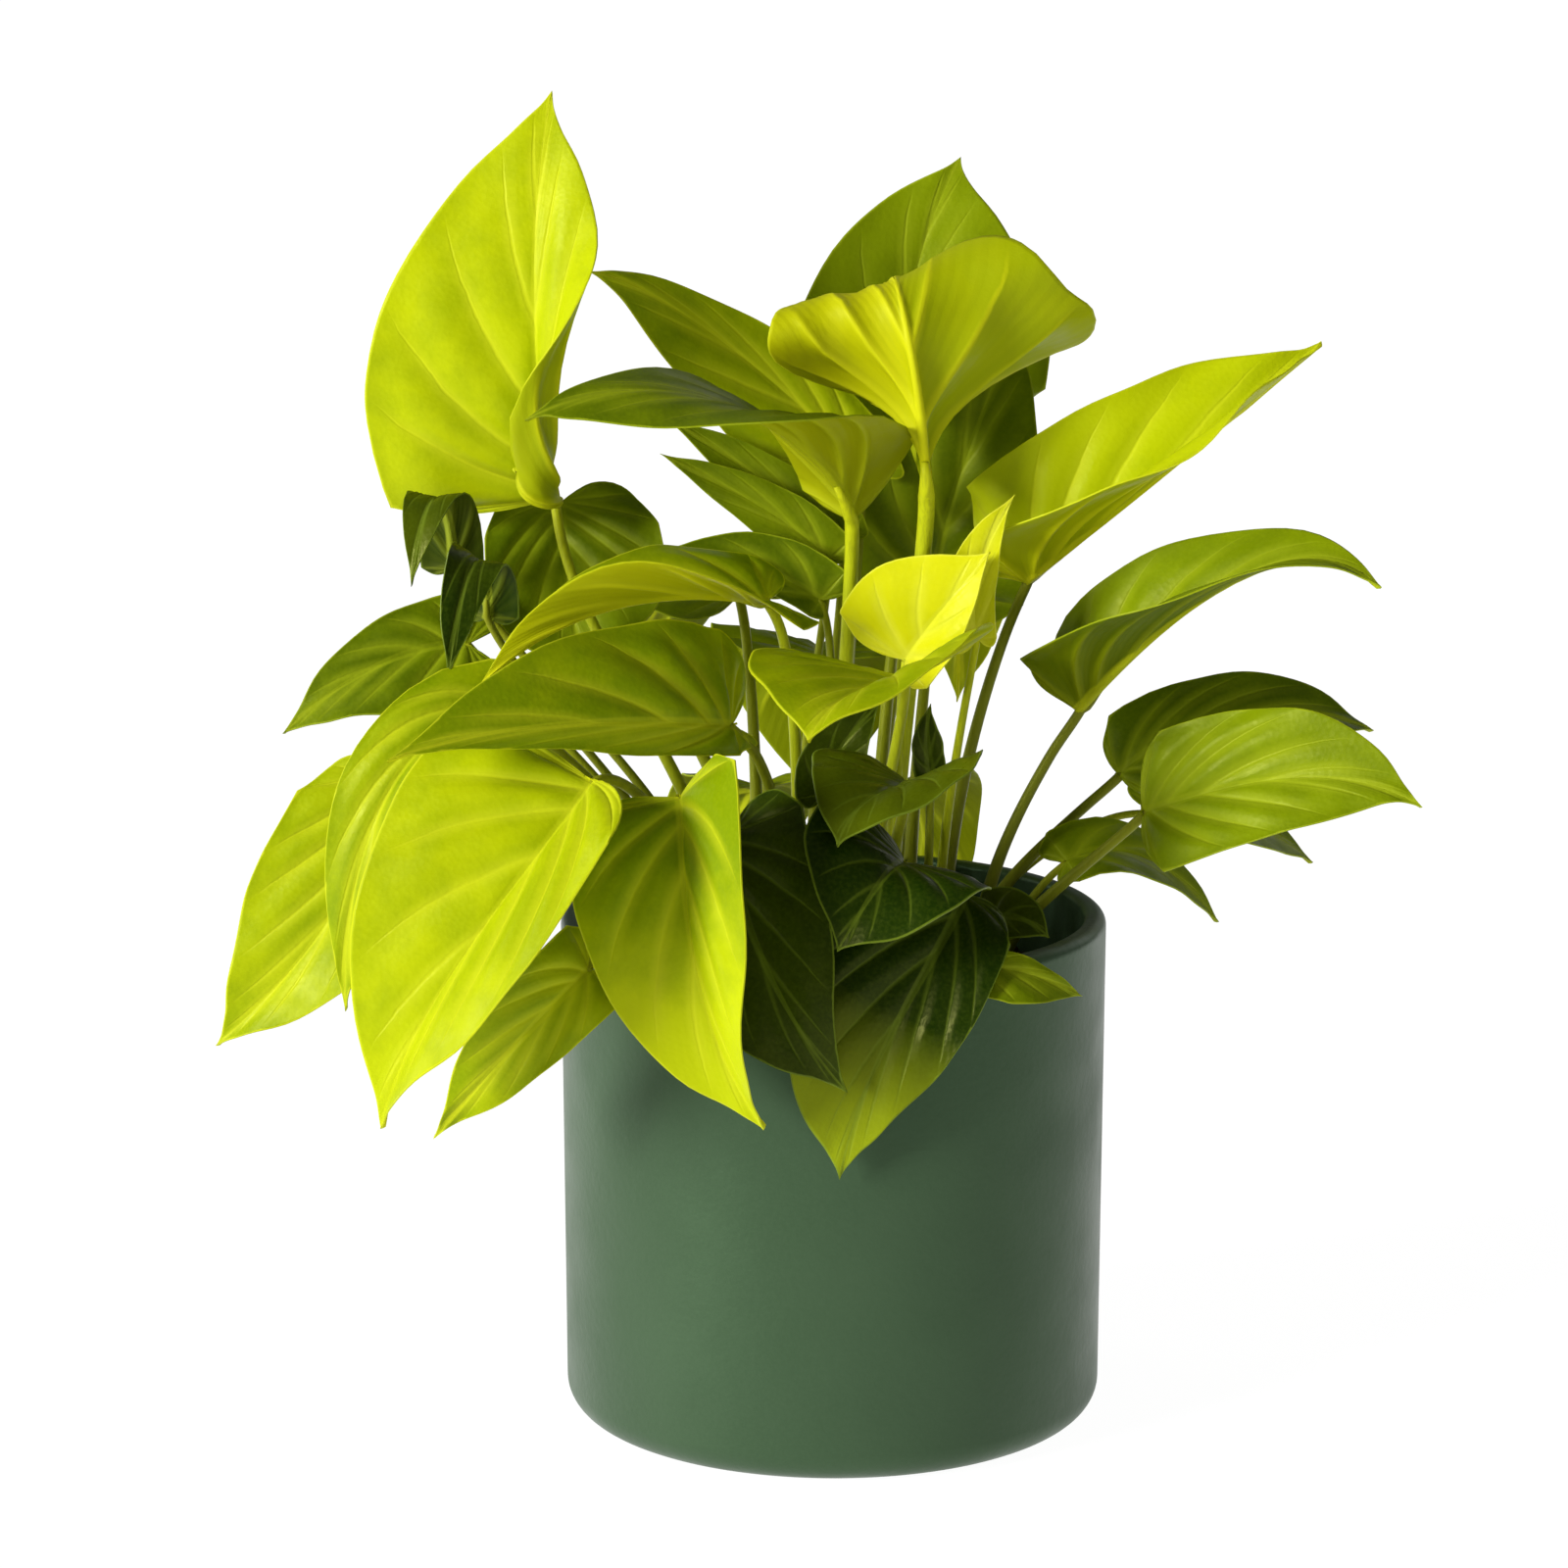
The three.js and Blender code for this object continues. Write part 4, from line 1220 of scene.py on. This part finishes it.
    def stalk_line(self, soil: Soil, rib: Rib) -> tuple[np.ndarray, np.ndarray]:
        """Lay the stalk out of its hole, up and over to the blade, and on under the rib.

        Args:
            soil: the soil that it stands in.
            rib: the blade's rib.

        Returns:
            The points of its middle line, and its radius at each, mm.
        """
        x, y = self.root
        ground = float(soil.top(np.array([x]), np.array([y]))[0])
        collar = np.array([x, y, ground + self.COLLAR])
        place, _, face = rib.frame(np.zeros(1))
        head = place[0]
        climb = max((head[2] - collar[2]) * 0.4, self.LEAST_CLIMB)
        handles = np.array([collar, collar + (0, 0, climb), self.bend, head])
        share = np.linspace(0, 1, self.STALK_STEPS + 1)
        line, _ = bezier(handles, share)
        neck = self.neck * self.size.scale
        radii = neck + (self.FOOT * self.size.scale - neck) * (1 - share) ** 2
        line = line - face[0] * (neck * 0.6 * smooth_step(0.8, 1.0, share))[:, None]
        u = np.array([0.02, 0.04, 0.075, 0.11])
        place, _, face = rib.frame(u)
        thin = neck * np.interp(u, [0.0, 0.04, 0.11], [1.0, 0.85, 0.45])
        tail = place - face * (thin + self.THICKNESS * 0.4)[:, None]
        foot = [[x, y, ground - self.HOLE_DEPTH]]
        return np.concatenate([foot, line, tail]), np.concatenate([radii[:1], radii, thin])

    def add_stalk(self, parts: MeshParts, soil: Soil, rib: Rib) -> None:
        """Add the stalk as a closed tapering tube.

        Args:
            parts: the mesh under way.
            soil: the soil that it stands in.
            rib: the blade's rib.
        """
        line, radii = self.stalk_line(soil, rib)
        before = np.concatenate([line[:1], line[:-1]])
        after = np.concatenate([line[1:], line[-1:]])
        forward = unit(after - before)
        across = np.array([1.0, 0.0, 0.0])
        angle = 2 * math.pi * np.arange(self.STALK_SIDES) / self.STALK_SIDES
        rings = []
        for k, place in enumerate(line):
            across = unit(across - forward[k] * np.dot(across, forward[k]))
            other = np.cross(forward[k], across)
            ring = place + radii[k] * (np.cos(angle)[:, None] * across + np.sin(angle)[:, None] * other)
            values = {
                "along": k / (len(line) - 1),
                "rib_distance": self.FAR_OFF,
                "edge_distance": self.FAR_OFF,
                "spread": 1,
                "tone": self.stalk,
            }
            rings.append(parts.add_ring(ring, self.STALK_SIDES, **values))
        parts.join_rings(rings, Surface.STALK)
        for ring in (rings[0][::-1], rings[-1]):
            parts.add_face([(corner, 0.0, 0.0) for corner in ring], Surface.STALK)

    def build(self, soil: Soil, finishes: list[bpy.types.Material]) -> bpy.types.Object:
        """Make the leaf.

        Args:
            soil: the soil that it stands in.
            finishes: the materials of its upper face, underside and stalk.

        Returns:
            The leaf, which stands for its node.
        """
        rib = Rib(self.rib, self.faces)
        parts = MeshParts()
        self.add_blade(parts, rib)
        self.add_stalk(parts, soil, rib)
        piece = parts.build(f"{self.node}_grown", finishes)
        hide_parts(self.node)
        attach(piece, "root")
        return piece


# The tones in this table are partly each leaf's own shade of green and partly painted light and shade.
LEAVES = (
    Leaf("leaf_tall_left", Tint.LIME, FULL_SIZE, 3,
         (-30, -2), (-78, -8, 230),
         ((-81, 6, 271), (-86, -8, 298), (-89, -6, 349), (-81, 14, 388)),
         ((-0.2, -1, 0.1), (-0.1, -1, 0.3)),
         Half(50, fold=(6, 6, 0), slant=3), Half(27, fold=(30, 0, 10), curl=(330, -10, 0), slant=14),
         tone=0.78, stalk=0.6, quilt=1.8),
    Leaf("leaf_back_left", Tint.GREEN, FULL_SIZE, 11,
         (-22, 20), (-72, 28, 240),
         ((-80, 28, 267), (-80, 20, 255), (-77, 12, 239), (-73, 6, 219)),
         ((0.1, -1, 0.35), (0, -1, 0.3)),
         Half(30, slant=12), Half(25, fold=(15, 15, 10), slant=13), tone=0.28),
    Leaf("leaf_rolled_left_upper", Tint.DARK, SMALL_SIZE, 2,
         (-34, 5), (-92, -16, 224),
         ((-110, -4, 252), (-110, -10, 280), (-116, -28, 286), (-120, -34, 252)),
         ((0, 0.8, 0.6), (-0.1, -1, 0.2)),
         Half(9), Half(10), tone=0.2, under=0.15, stalk=0.3),
    Leaf("leaf_rolled_left_lower", Tint.DARK, SMALL_SIZE, 2,
         (-38, -10), (-88, -28, 215),
         ((-98, -38, 244), (-98, -42, 270), (-103, -58, 270), (-108, -64, 231)),
         ((0.3, 0.8, 0.6), (0.1, -1, 0.1)),
         Half(9), Half(9), tone=0.05, under=-0.08, stalk=0.3),
    Leaf("leaf_far_left", Tint.GREEN, FULL_SIZE, 8,
         (-42, 0), (-86, -2, 205),
         ((-106, -4, 230), (-125, -10, 231), (-143, -14, 221), (-159, -16, 206)),
         ((0, -1, 0.6), (0, -1, 0.6)),
         Half(19), Half(15, slant=-8), tone=0.2),
    Leaf("leaf_arching_left", Tint.LIME, FULL_SIZE, 10,
         (-10, -8), (-10, -8, 232),
         ((-19, -16, 245), (-39, -32, 251), (-72, -54, 256), (-99, -68, 230)),
         ((0, -0.6, 0.8), (0, -0.5, 0.9)),
         Half(20, fold=(15, 75, 150)), Half(20, fold=(8, 0, 0)), tone=-0.05, tip=0.9, under=0.9, stalk=0.8),
    Leaf("leaf_upper_centre_left", Tint.GREEN, FULL_SIZE, 3,
         (0, -2), (6, -6, 250),
         ((5, -10, 268), (-1, -25, 296), (-47, -50, 323), (-86, -60, 303)),
         ((0, 0.6, 0.6), (0, -0.5, 0.8)),
         Half(26, fold=(45, -35, -20), slant=12), Half(24, fold=(50, 10, 5)),
         tone=0.3, under=1.0, stalk=0.95, neck=2.1),
    Leaf("leaf_upper_back_left", Tint.LIME, FULL_SIZE, 10,
         (0, 20), (9, 20, 256),
         ((8, 22, 278), (-14, 22, 302), (-50, 15, 333), (-70, -12, 339)),
         ((0, -1, 0.2), (0, -1, 0.3)),
         Half(22), Half(13), tone=0.3),
    Leaf("leaf_under_centre_left", Tint.GREEN, SMALL_SIZE, 5,
         (-5, 10), (3, 14, 240),
         ((3, 15, 258), (-14, 12, 271), (-32, 7, 285), (-49, -1, 296)),
         ((0, -1, 0.3), (0, -1, 0.5)),
         Half(9), Half(9)),
    Leaf("leaf_under_low_left", Tint.GREEN, SMALL_SIZE, 5,
         (-13, 1), (-2, 7, 236),
         ((-1, 8, 253), (-16, 8, 267), (-33, 3, 276), (-50, -6, 286)),
         ((0, -1, 0.2), (0, -1, 0.3)),
         Half(8), Half(9)),
    Leaf("leaf_centre_heart", Tint.LIME, FULL_SIZE, 3,
         (16, -12), (27, -13, 256),
         ((26, -20, 277), (25, -36, 310), (13, -36, 358), (18, 10, 326)),
         ((0, 1, 0.2), (0, -0.7, -0.7)),
         Half(61, fold=(98, -20, -42), slant=5), Half(39, fold=(105, -15, 24), slant=27),
         # The difference in light between the heart's halves is painted.
         under=0.72, painted_half_light=0.5, stalk=1.0, quilt=2.2, neck=2.4),
    Leaf("leaf_top_back", Tint.GREEN, FULL_SIZE, 10,
         (12, 27), (24, 56, 262),
         ((24, 52, 281), (18, 46, 306), (22, 50, 338), (38, 62, 365)),
         ((0, -1, 0.3), (0, -1, 0.3)),
         Half(36), Half(43, slant=16), tone=1.0),
    Leaf("leaf_dark_back_right", Tint.GREEN, FULL_SIZE, 10,
         (22, 13), (29, 34, 225),
         ((30, 36, 240), (31, 23, 262), (42, 24, 290), (55, 36, 320)),
         ((0, -1, 0.3), (0, -1, 0.3)),
         Half(29), Half(28), tone=0.4),
    Leaf("leaf_right_upper", Tint.LIME, FULL_SIZE, 6,
         (32, 4), (46, 2, 225),
         ((56, 0, 248), (73, -10, 264), (107, -8, 291), (141, 12, 316)),
         ((-0.1, -1, 0.35), (0, -1, 0.4)),
         Half(32, fold=(5, 5, 0), slant=2), Half(26, fold=(126, 68, 80), slant=6),
         tone=1.1, under=0.6, stalk=0.3, wave=2.4),
    Leaf("leaf_right_middle", Tint.GREEN, FULL_SIZE, 3,
         (42, -2), (58, -3, 188),
         ((71, -4, 211), (86, -22, 233), (128, -22, 276), (155, -30, 251)),
         ((-0.3, -0.6, 0.7), (0, -0.6, 0.8)),
         Half(25, fold=(12, 12, 5), slant=-2), Half(24, fold=(118, 48, 20), slant=3),
         tone=0.8, under=0.1, stalk=0.2),
    Leaf("leaf_right_back", Tint.GREEN, FULL_SIZE, 3,
         (42, 16), (68, 24, 168),
         ((85, 26, 185), (100, 22, 201), (134, 34, 210), (163, 48, 194)),
         ((0, -0.8, 0.8), (0, -0.8, 0.8)),
         Half(16, slant=8), Half(20, slant=11), tone=0.15, under=0.1, stalk=0.2),
    Leaf("leaf_right_front", Tint.GREEN, FULL_SIZE, 3,
         (48, -12), (72, -18, 164),
         ((89, -22, 184), (109, -34, 194), (140, -46, 207), (165, -56, 193)),
         ((0, -1, 0.6), (0, -1, 0.6)),
         Half(22, fold=(12, 12, 20), slant=12), Half(21, slant=6), tone=0.65, stalk=0.3, quilt=1.2),
    Leaf("leaf_right_low", Tint.GREEN, SMALL_SIZE, 5,
         (50, 4), (60, 3, 156),
         ((68, 2, 164), (79, 4, 170), (97, 12, 167), (115, 22, 141)),
         ((0, -0.6, 1), (0, -0.6, 1)),
         Half(12), Half(12)),
    Leaf("leaf_right_far_low", Tint.GREEN, SMALL_SIZE, 6,
         (40, 28), (76, 36, 174),
         ((97, 38, 171), (113, 44, 171), (131, 54, 165), (147, 62, 150)),
         ((0, -0.6, 1), (0, -0.6, 1)),
         Half(16), Half(16)),
    Leaf("leaf_yellow_centre", Tint.YELLOW, SMALL_SIZE, 4,
         (18, -20), (18, -18, 210),
         ((20, -18, 228), (27, -24, 240), (37, -27, 252), (44, -27, 261)),
         ((-0.4, -1, 0.2), (-0.4, -1, 0.2)),
         Half(24), Half(12), tone=1.05, stalk=0.9),
    Leaf("leaf_spear", Tint.YELLOW, SMALL_SIZE, 3,
         (30, -6), (38, -15, 216),
         ((41, -17, 234), (38, -21, 250), (43, -24, 265), (51, -25, 277)),
         ((0, -1, 0.2), (0, -1, 0.2)),
         Half(10), Half(6), stalk=0.9),
    Leaf("leaf_centre_front", Tint.LIME, FULL_SIZE, 11,
         (8, -27), (20, -32, 210),
         ((20, -37, 226), (11, -58, 229), (-2, -82, 231), (-8, -92, 219)),
         ((0, -0.25, 1), (0, -0.5, 1)),
         Half(30, fold=(42, 32, 10), slant=-4), Half(34, fold=(2, 6, 4), slant=14), tone=0.35, stalk=0.7),
    Leaf("leaf_small_centre_front", Tint.DARK, FULL_SIZE, 11,
         (10, -38), (20, -52, 188),
         ((20, -62, 201), (14, -78, 203), (4, -92, 203), (0, -98, 191)),
         ((0, -0.25, 1), (0, -0.5, 1)),
         Half(25, fold=(30, 20, 5)), Half(25, fold=(14, 8, 0)), tone=0.32),
    Leaf("leaf_olive_inner", Tint.DARK, SMALL_SIZE, 5,
         (-4, -28), (-2, -24, 176),
         ((-2, -22, 190), (-2, -28, 201), (5, -30, 210), (13, -26, 217)),
         ((0, -1, 0.2), (0, -1, 0.2)),
         Half(10), Half(10), tone=0.1),
    Leaf("leaf_inner_small", Tint.DARK, SMALL_SIZE, 3,
         (27, -17), (28, -11, 182),
         ((28, -10, 193), (27, -12, 200), (26, -13, 207), (28, -11, 214)),
         ((0, -1, 0.2), (0, -1, 0.2)),
         Half(5), Half(5), tone=0.1),
    Leaf("leaf_big_left_flat", Tint.LIME, FULL_SIZE, 10,
         (-14, -22), (-14, -40, 200),
         ((-29, -54, 216), (-44, -74, 221), (-89, -100, 229), (-121, -118, 219)),
         ((0, -1, 0.7), (0, -1, 0.7)),
         Half(9, fold=(-20, -30, 0)), Half(31, fold=(12, 6, 0), slant=-8), tone=0.1, quilt=1.6),
    Leaf("leaf_front_left_big", Tint.LIME, FULL_SIZE, 4,
         (-29, -34), (-56, -78, 213),
         ((-67, -92, 208), (-79, -108, 191), (-117, -114, 152), (-125, -108, 114)),
         ((-0.45, -1, 0.4), (-0.4, -1, 0)),
         Half(33, fold=(30, 25, 58), curl=(20, 20, 0), slant=17), Half(43, fold=(15, 15, 5)),
         tone=0.72, quilt=1.5),
    Leaf("leaf_left_behind_big", Tint.LIME, FULL_SIZE, 6,
         (-38, -22), (-74, -52, 206),
         ((-91, -60, 221), (-111, -74, 229), (-138, -82, 198), (-137, -76, 139)),
         ((-0.4, -1, 0.4), (-0.4, -1, 0)),
         Half(26), Half(15), tone=0.25),
    Leaf("leaf_left_low", Tint.LIME, FULL_SIZE, 10,
         (-47, -13), (-100, -32, 180),
         ((-126, -38, 199), (-130, -46, 175), (-149, -52, 146), (-177, -46, 121)),
         ((-0.3, -1, 0.3), (-0.2, -1, 0)),
         Half(26, fold=(12, 12, 35)), Half(26, slant=14), tone=0.4),
    Leaf("leaf_small_low_left", Tint.LIME, FULL_SIZE, 6,
         (-44, -30), (-60, -60, 172),
         ((-69, -72, 150), (-76, -84, 146), (-95, -84, 126), (-113, -76, 102)),
         ((0.2, -1, 0.2), (0.2, -1, 0)),
         Half(13), Half(15), tone=0.3),
    Leaf("leaf_front_centre", Tint.LIME, FULL_SIZE, 4,
         (-20, -38), (-34, -66, 201),
         ((-43, -85, 202), (-41, -105, 186), (-43, -109, 147), (-20, -98, 111)),
         ((-0.35, -1, 0.5), (-0.35, -1, 0)),
         # Its dark base and light tip are painted shadow and painted light.
         Half(30, fold=(39, 42, 55), slant=5), Half(31, fold=(12, 12, 5), slant=4), tone=-0.7, tip=2.9),
    Leaf("leaf_dark_front", Tint.DARK, FULL_SIZE, 10,
         (-11, -46), (-26, -62, 184),
         ((-30, -70, 188), (-28, -87, 172), (-17, -97, 144), (3, -96, 121)),
         ((-0.2, -1, 0.3), (-0.15, -1, 0)),
         Half(25), Half(24, slant=9), tone=0.05),
    Leaf("leaf_dark_heart", Tint.DARK, FULL_SIZE, 10,
         (4, -48), (17, -64, 176),
         ((19, -78, 182), (14, -94, 185), (8, -104, 177), (0, -104, 163)),
         ((0, -0.8, 0.7), (0, -0.8, 0.6)),
         Half(26), Half(28, fold=(20, 15, 5)), tone=-0.04),
    Leaf("leaf_front_pointed", Tint.DARK, FULL_SIZE, 4,
         (20, -44), (34, -56, 170),
         ((36, -66, 170), (29, -86, 157), (7, -90, 130), (1, -86, 93)),
         ((0, -1, 0.4), (0, -1, 0)),
         # Its dark base and light tip are painted shadow and painted light.
         Half(19, slant=11), Half(30, slant=17), tone=-1.4, tip=3.2),
    Leaf("leaf_small_rim_right", Tint.GREEN, SMALL_SIZE, 4,
         (32, -41), (36, -64, 172),
         ((40, -77, 152), (48, -81, 153), (59, -77, 149), (69, -71, 142)),
         ((0.2, -1, 0.6), (0.2, -1, 0.4)),
         Half(5), Half(10)),
    Leaf("leaf_dark_rim_right", Tint.DARK, SMALL_SIZE, 4,
         (43, -26), (43, -32, 158),
         ((45, -38, 156), (50, -44, 160), (56, -46, 158), (61, -47, 153)),
         ((0.2, -1, 0.6), (0.2, -1, 0.4)),
         Half(9), Half(9), tone=0.1),
    Leaf("leaf_inner_ribbed", Tint.GREEN, SMALL_SIZE, 4,
         (-6, -17), (4, -3, 224),
         ((-4, 1, 242), (-14, 2, 250), (-30, 1, 254), (-50, -4, 258)),
         ((0, -1, 0.2), (0, -1, 0.3)),
         Half(6), Half(12), tone=0.1, under=0.05),
    Leaf("leaf_rear_centre", Tint.GREEN, FULL_SIZE, 10,
         (-6, 36), (-4, 56, 212),
         ((-4, 66, 214), (-4, 90, 220), (-4, 108, 196), (-4, 106, 158)),
         ((0, 0.8, 1), (0, 1, 0)),
         Half(34), Half(34)),
    Leaf("leaf_rear_right", Tint.LIME, FULL_SIZE, 10,
         (11, 36), (22, 52, 228),
         ((26, 60, 238), (34, 84, 248), (42, 104, 228), (40, 114, 190)),
         ((0.4, 0.6, 1), (0.3, 1, 0.2)),
         Half(22), Half(22)),
    Leaf("leaf_rear_left", Tint.GREEN, FULL_SIZE, 10,
         (-22, 31), (-24, 48, 220),
         ((-28, 56, 234), (-38, 80, 246), (-52, 100, 230), (-54, 112, 196)),
         ((-0.4, 0.6, 1), (-0.3, 1, 0.2)),
         Half(32), Half(30)),
    Leaf("leaf_rear_low_left", Tint.GREEN, FULL_SIZE, 10,
         (-18, 44), (-20, 66, 184),
         ((-22, 80, 170), (-26, 98, 168), (-34, 106, 140), (-34, 98, 100)),
         ((-0.2, 0.8, 1), (-0.2, 1, 0)),
         Half(24), Half(24)),
    Leaf("leaf_rear_low_right", Tint.GREEN, FULL_SIZE, 10,
         (20, 44), (22, 66, 184),
         ((22, 80, 172), (27, 100, 170), (32, 112, 148), (34, 106, 110)),
         ((0.2, 0.8, 1), (0.2, 1, 0)),
         Half(20), Half(20)),
    Leaf("leaf_rear_upper", Tint.LIME, FULL_SIZE, 10,
         (3, 34), (7, 56, 256),
         ((6, 63, 266), (6, 84, 296), (4, 110, 300), (0, 126, 268)),
         ((0, 0.2, 1), (0, 1, 0.4)),
         Half(26), Half(26)),
)


LEAF_FINISHES = (
    LeafFinish(
        Tint.LIME,
        deep=(0.26, 0.37, 0.001),
        bright=(0.62, 0.7, 0.002),
        vein=(0.76, 0.8, 0.02),
        under=(0.64, 0.64, 0.003),
        under_vein=(0.78, 0.78, 0.01),
    ),
    LeafFinish(
        Tint.GREEN,
        deep=(0.11, 0.17, 0.001),
        bright=(0.29, 0.38, 0.002),
        vein=(0.44, 0.52, 0.015),
        under=(0.48, 0.5, 0.003),
        under_vein=(0.56, 0.6, 0.01),
    ),
    # The dark tint is partly painted shade, for the leaves that stand in deep shade.
    LeafFinish(
        Tint.DARK,
        deep=(0.012, 0.032, 0.001),
        bright=(0.27, 0.33, 0.004),
        vein=(0.2, 0.28, 0.02),
        under=(0.2, 0.24, 0.005),
        under_vein=(0.3, 0.36, 0.02),
        roughness=0.34,
        glow=0.2,
        mottle=0.1,
        halo=0.04,
    ),
    LeafFinish(
        Tint.YELLOW,
        deep=(0.6, 0.64, 0.002),
        bright=(0.86, 0.85, 0.006),
        vein=(0.9, 0.9, 0.06),
        under=(0.72, 0.72, 0.006),
        under_vein=(0.84, 0.86, 0.04),
        roughness=0.3,
        glow=0.35,
    ),
)


@dataclass
class Foliage:
    """All the leaves of the plant.

    Attributes:
        leaves: the leaves, by where they stand as seen from the front.
        finishes: the finish of each tint.
        stalk: the stalks' finish.
    """

    leaves: tuple[Leaf, ...] = LEAVES
    finishes: tuple[LeafFinish, ...] = LEAF_FINISHES
    stalk: StalkFinish = field(default_factory=StalkFinish)

    def build(self, soil: Soil) -> list[bpy.types.Object]:
        """Make every leaf in its own tint.

        Args:
            soil: the soil that they stand in.

        Returns:
            The leaves.
        """
        stalk = self.stalk.build()
        faces = {finish.tint: [finish.upper(), finish.underside(), stalk] for finish in self.finishes}
        return [leaf.build(soil, faces[leaf.tint]) for leaf in self.leaves]


@dataclass
class Studio:
    """The pale floor, the soft lights and the camera.

    Attributes:
        eye: where the camera stands, m.
        aim: what it looks at, m.
        lens: its focal length, mm.
        sensor: the width of its sensor, mm.
        floor_size: the width of the floor, m.
        floor_drop: how far the floor lies under the pot, m.
        sky: how strong the even light from all around is.
    """

    eye: Point = (-0.0145, -1.45, 0.495)
    aim: Point = (-0.0145, 0.0, 0.1878)
    lens: float = 116.48
    sensor: float = 36.0
    floor_size: float = 60.0
    floor_drop: float = 0.0004
    sky: float = 0.11

    def camera(self) -> None:
        """Stand the camera where the photograph was taken from."""
        data = bpy.data.cameras.new("camera")
        data.lens = self.lens
        data.sensor_width = self.sensor
        data.clip_end = 100.0
        camera = bpy.data.objects.new("camera", data)
        camera.location = self.eye
        camera.rotation_euler = (Vector(self.aim) - Vector(self.eye)).to_track_quat("-Z", "Y").to_euler()
        bpy.context.scene.collection.objects.link(camera)
        bpy.context.scene.camera = camera

    def floor(self) -> None:
        """Lay a plain pale floor."""
        reach = self.floor_size / 2
        mesh = bpy.data.meshes.new("floor")
        signs = ((-1, -1), (1, -1), (1, 1), (-1, 1))
        corners = [(x * reach, y * reach, -self.floor_drop) for x, y in signs]
        mesh.from_pydata(corners, [], [(0, 1, 2, 3)])
        finish = Finish("pale_floor")
        face = finish.node(
            "ShaderNodeBsdfPrincipled",
            {
                "Base Color": (0.12, 0.12, 0.12, 1.0),
                "Roughness": 0.9,
                "Specular IOR Level": 0.1,
                "Emission Color": (1.0, 1.0, 1.0, 1.0),
                "Emission Strength": 0.97,
            },
        )
        mesh.materials.append(finish.finish(face))
        floor = bpy.data.objects.new("floor", mesh)
        bpy.context.scene.collection.objects.link(floor)

    def light(self, name: str, place: Point, size: float, power: float, aim: Point = (0.0, 0.0, 0.2)) -> None:
        """Hang one soft square light.

        Args:
            name: its name.
            place: where it hangs, m.
            size: its width, m.
            power: its power, W.
            aim: what it shines on, m.
        """
        data = bpy.data.lights.new(name, "AREA")
        data.size = size
        data.energy = power
        lamp = bpy.data.objects.new(name, data)
        lamp.location = place
        lamp.rotation_euler = (Vector(aim) - Vector(place)).to_track_quat("-Z", "Y").to_euler()
        bpy.context.scene.collection.objects.link(lamp)

    def sun(self, name: str, way: Point, power: float, width: float) -> None:
        """Hang one wide soft light far away.

        Args:
            name: its name.
            way: the direction that it stands in.
            power: its power, W a square metre.
            width: how wide it looks, degrees.
        """
        data = bpy.data.lights.new(name, "SUN")
        data.energy = power
        data.angle = math.radians(width)
        lamp = bpy.data.objects.new(name, data)
        lamp.location = way
        lamp.rotation_euler = (-Vector(way)).to_track_quat("-Z", "Y").to_euler()
        bpy.context.scene.collection.objects.link(lamp)

    def build(self) -> None:
        """Set up the camera, the floor and the lights."""
        self.camera()
        self.floor()
        world = bpy.data.worlds.new("even_light")
        world.use_nodes = True
        world.node_tree.nodes["Background"].inputs[0].default_value = (1, 1, 1, 1)
        world.node_tree.nodes["Background"].inputs[1].default_value = self.sky
        bpy.context.scene.world = world
        bpy.context.scene.view_settings.view_transform = "Standard"
        self.sun("key", way=(-0.8, -0.55, 0.3), power=4.2, width=22)
        self.sun("back", way=(0.5, 0.75, 0.45), power=0.3, width=40)
        self.light("edge", place=(-1.6, 0.9, 0.7), size=0.8, power=7)


def main() -> None:
    """Build the scene, piece by piece."""
    logging.basicConfig(level=logging.INFO, format="%(name)s: %(message)s")
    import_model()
    Studio().build()
    pot = Pot()
    made = [pot.build(GlazeFinish().build())]
    soil = Soil(pot)
    made.append(soil.build(SoilFinish().build()))
    made.extend(Foliage().build(soil))
    for piece in made:
        LOG.info("%s: %d faces", piece.name, len(piece.data.polygons))


if __name__ == "__main__":
    main()
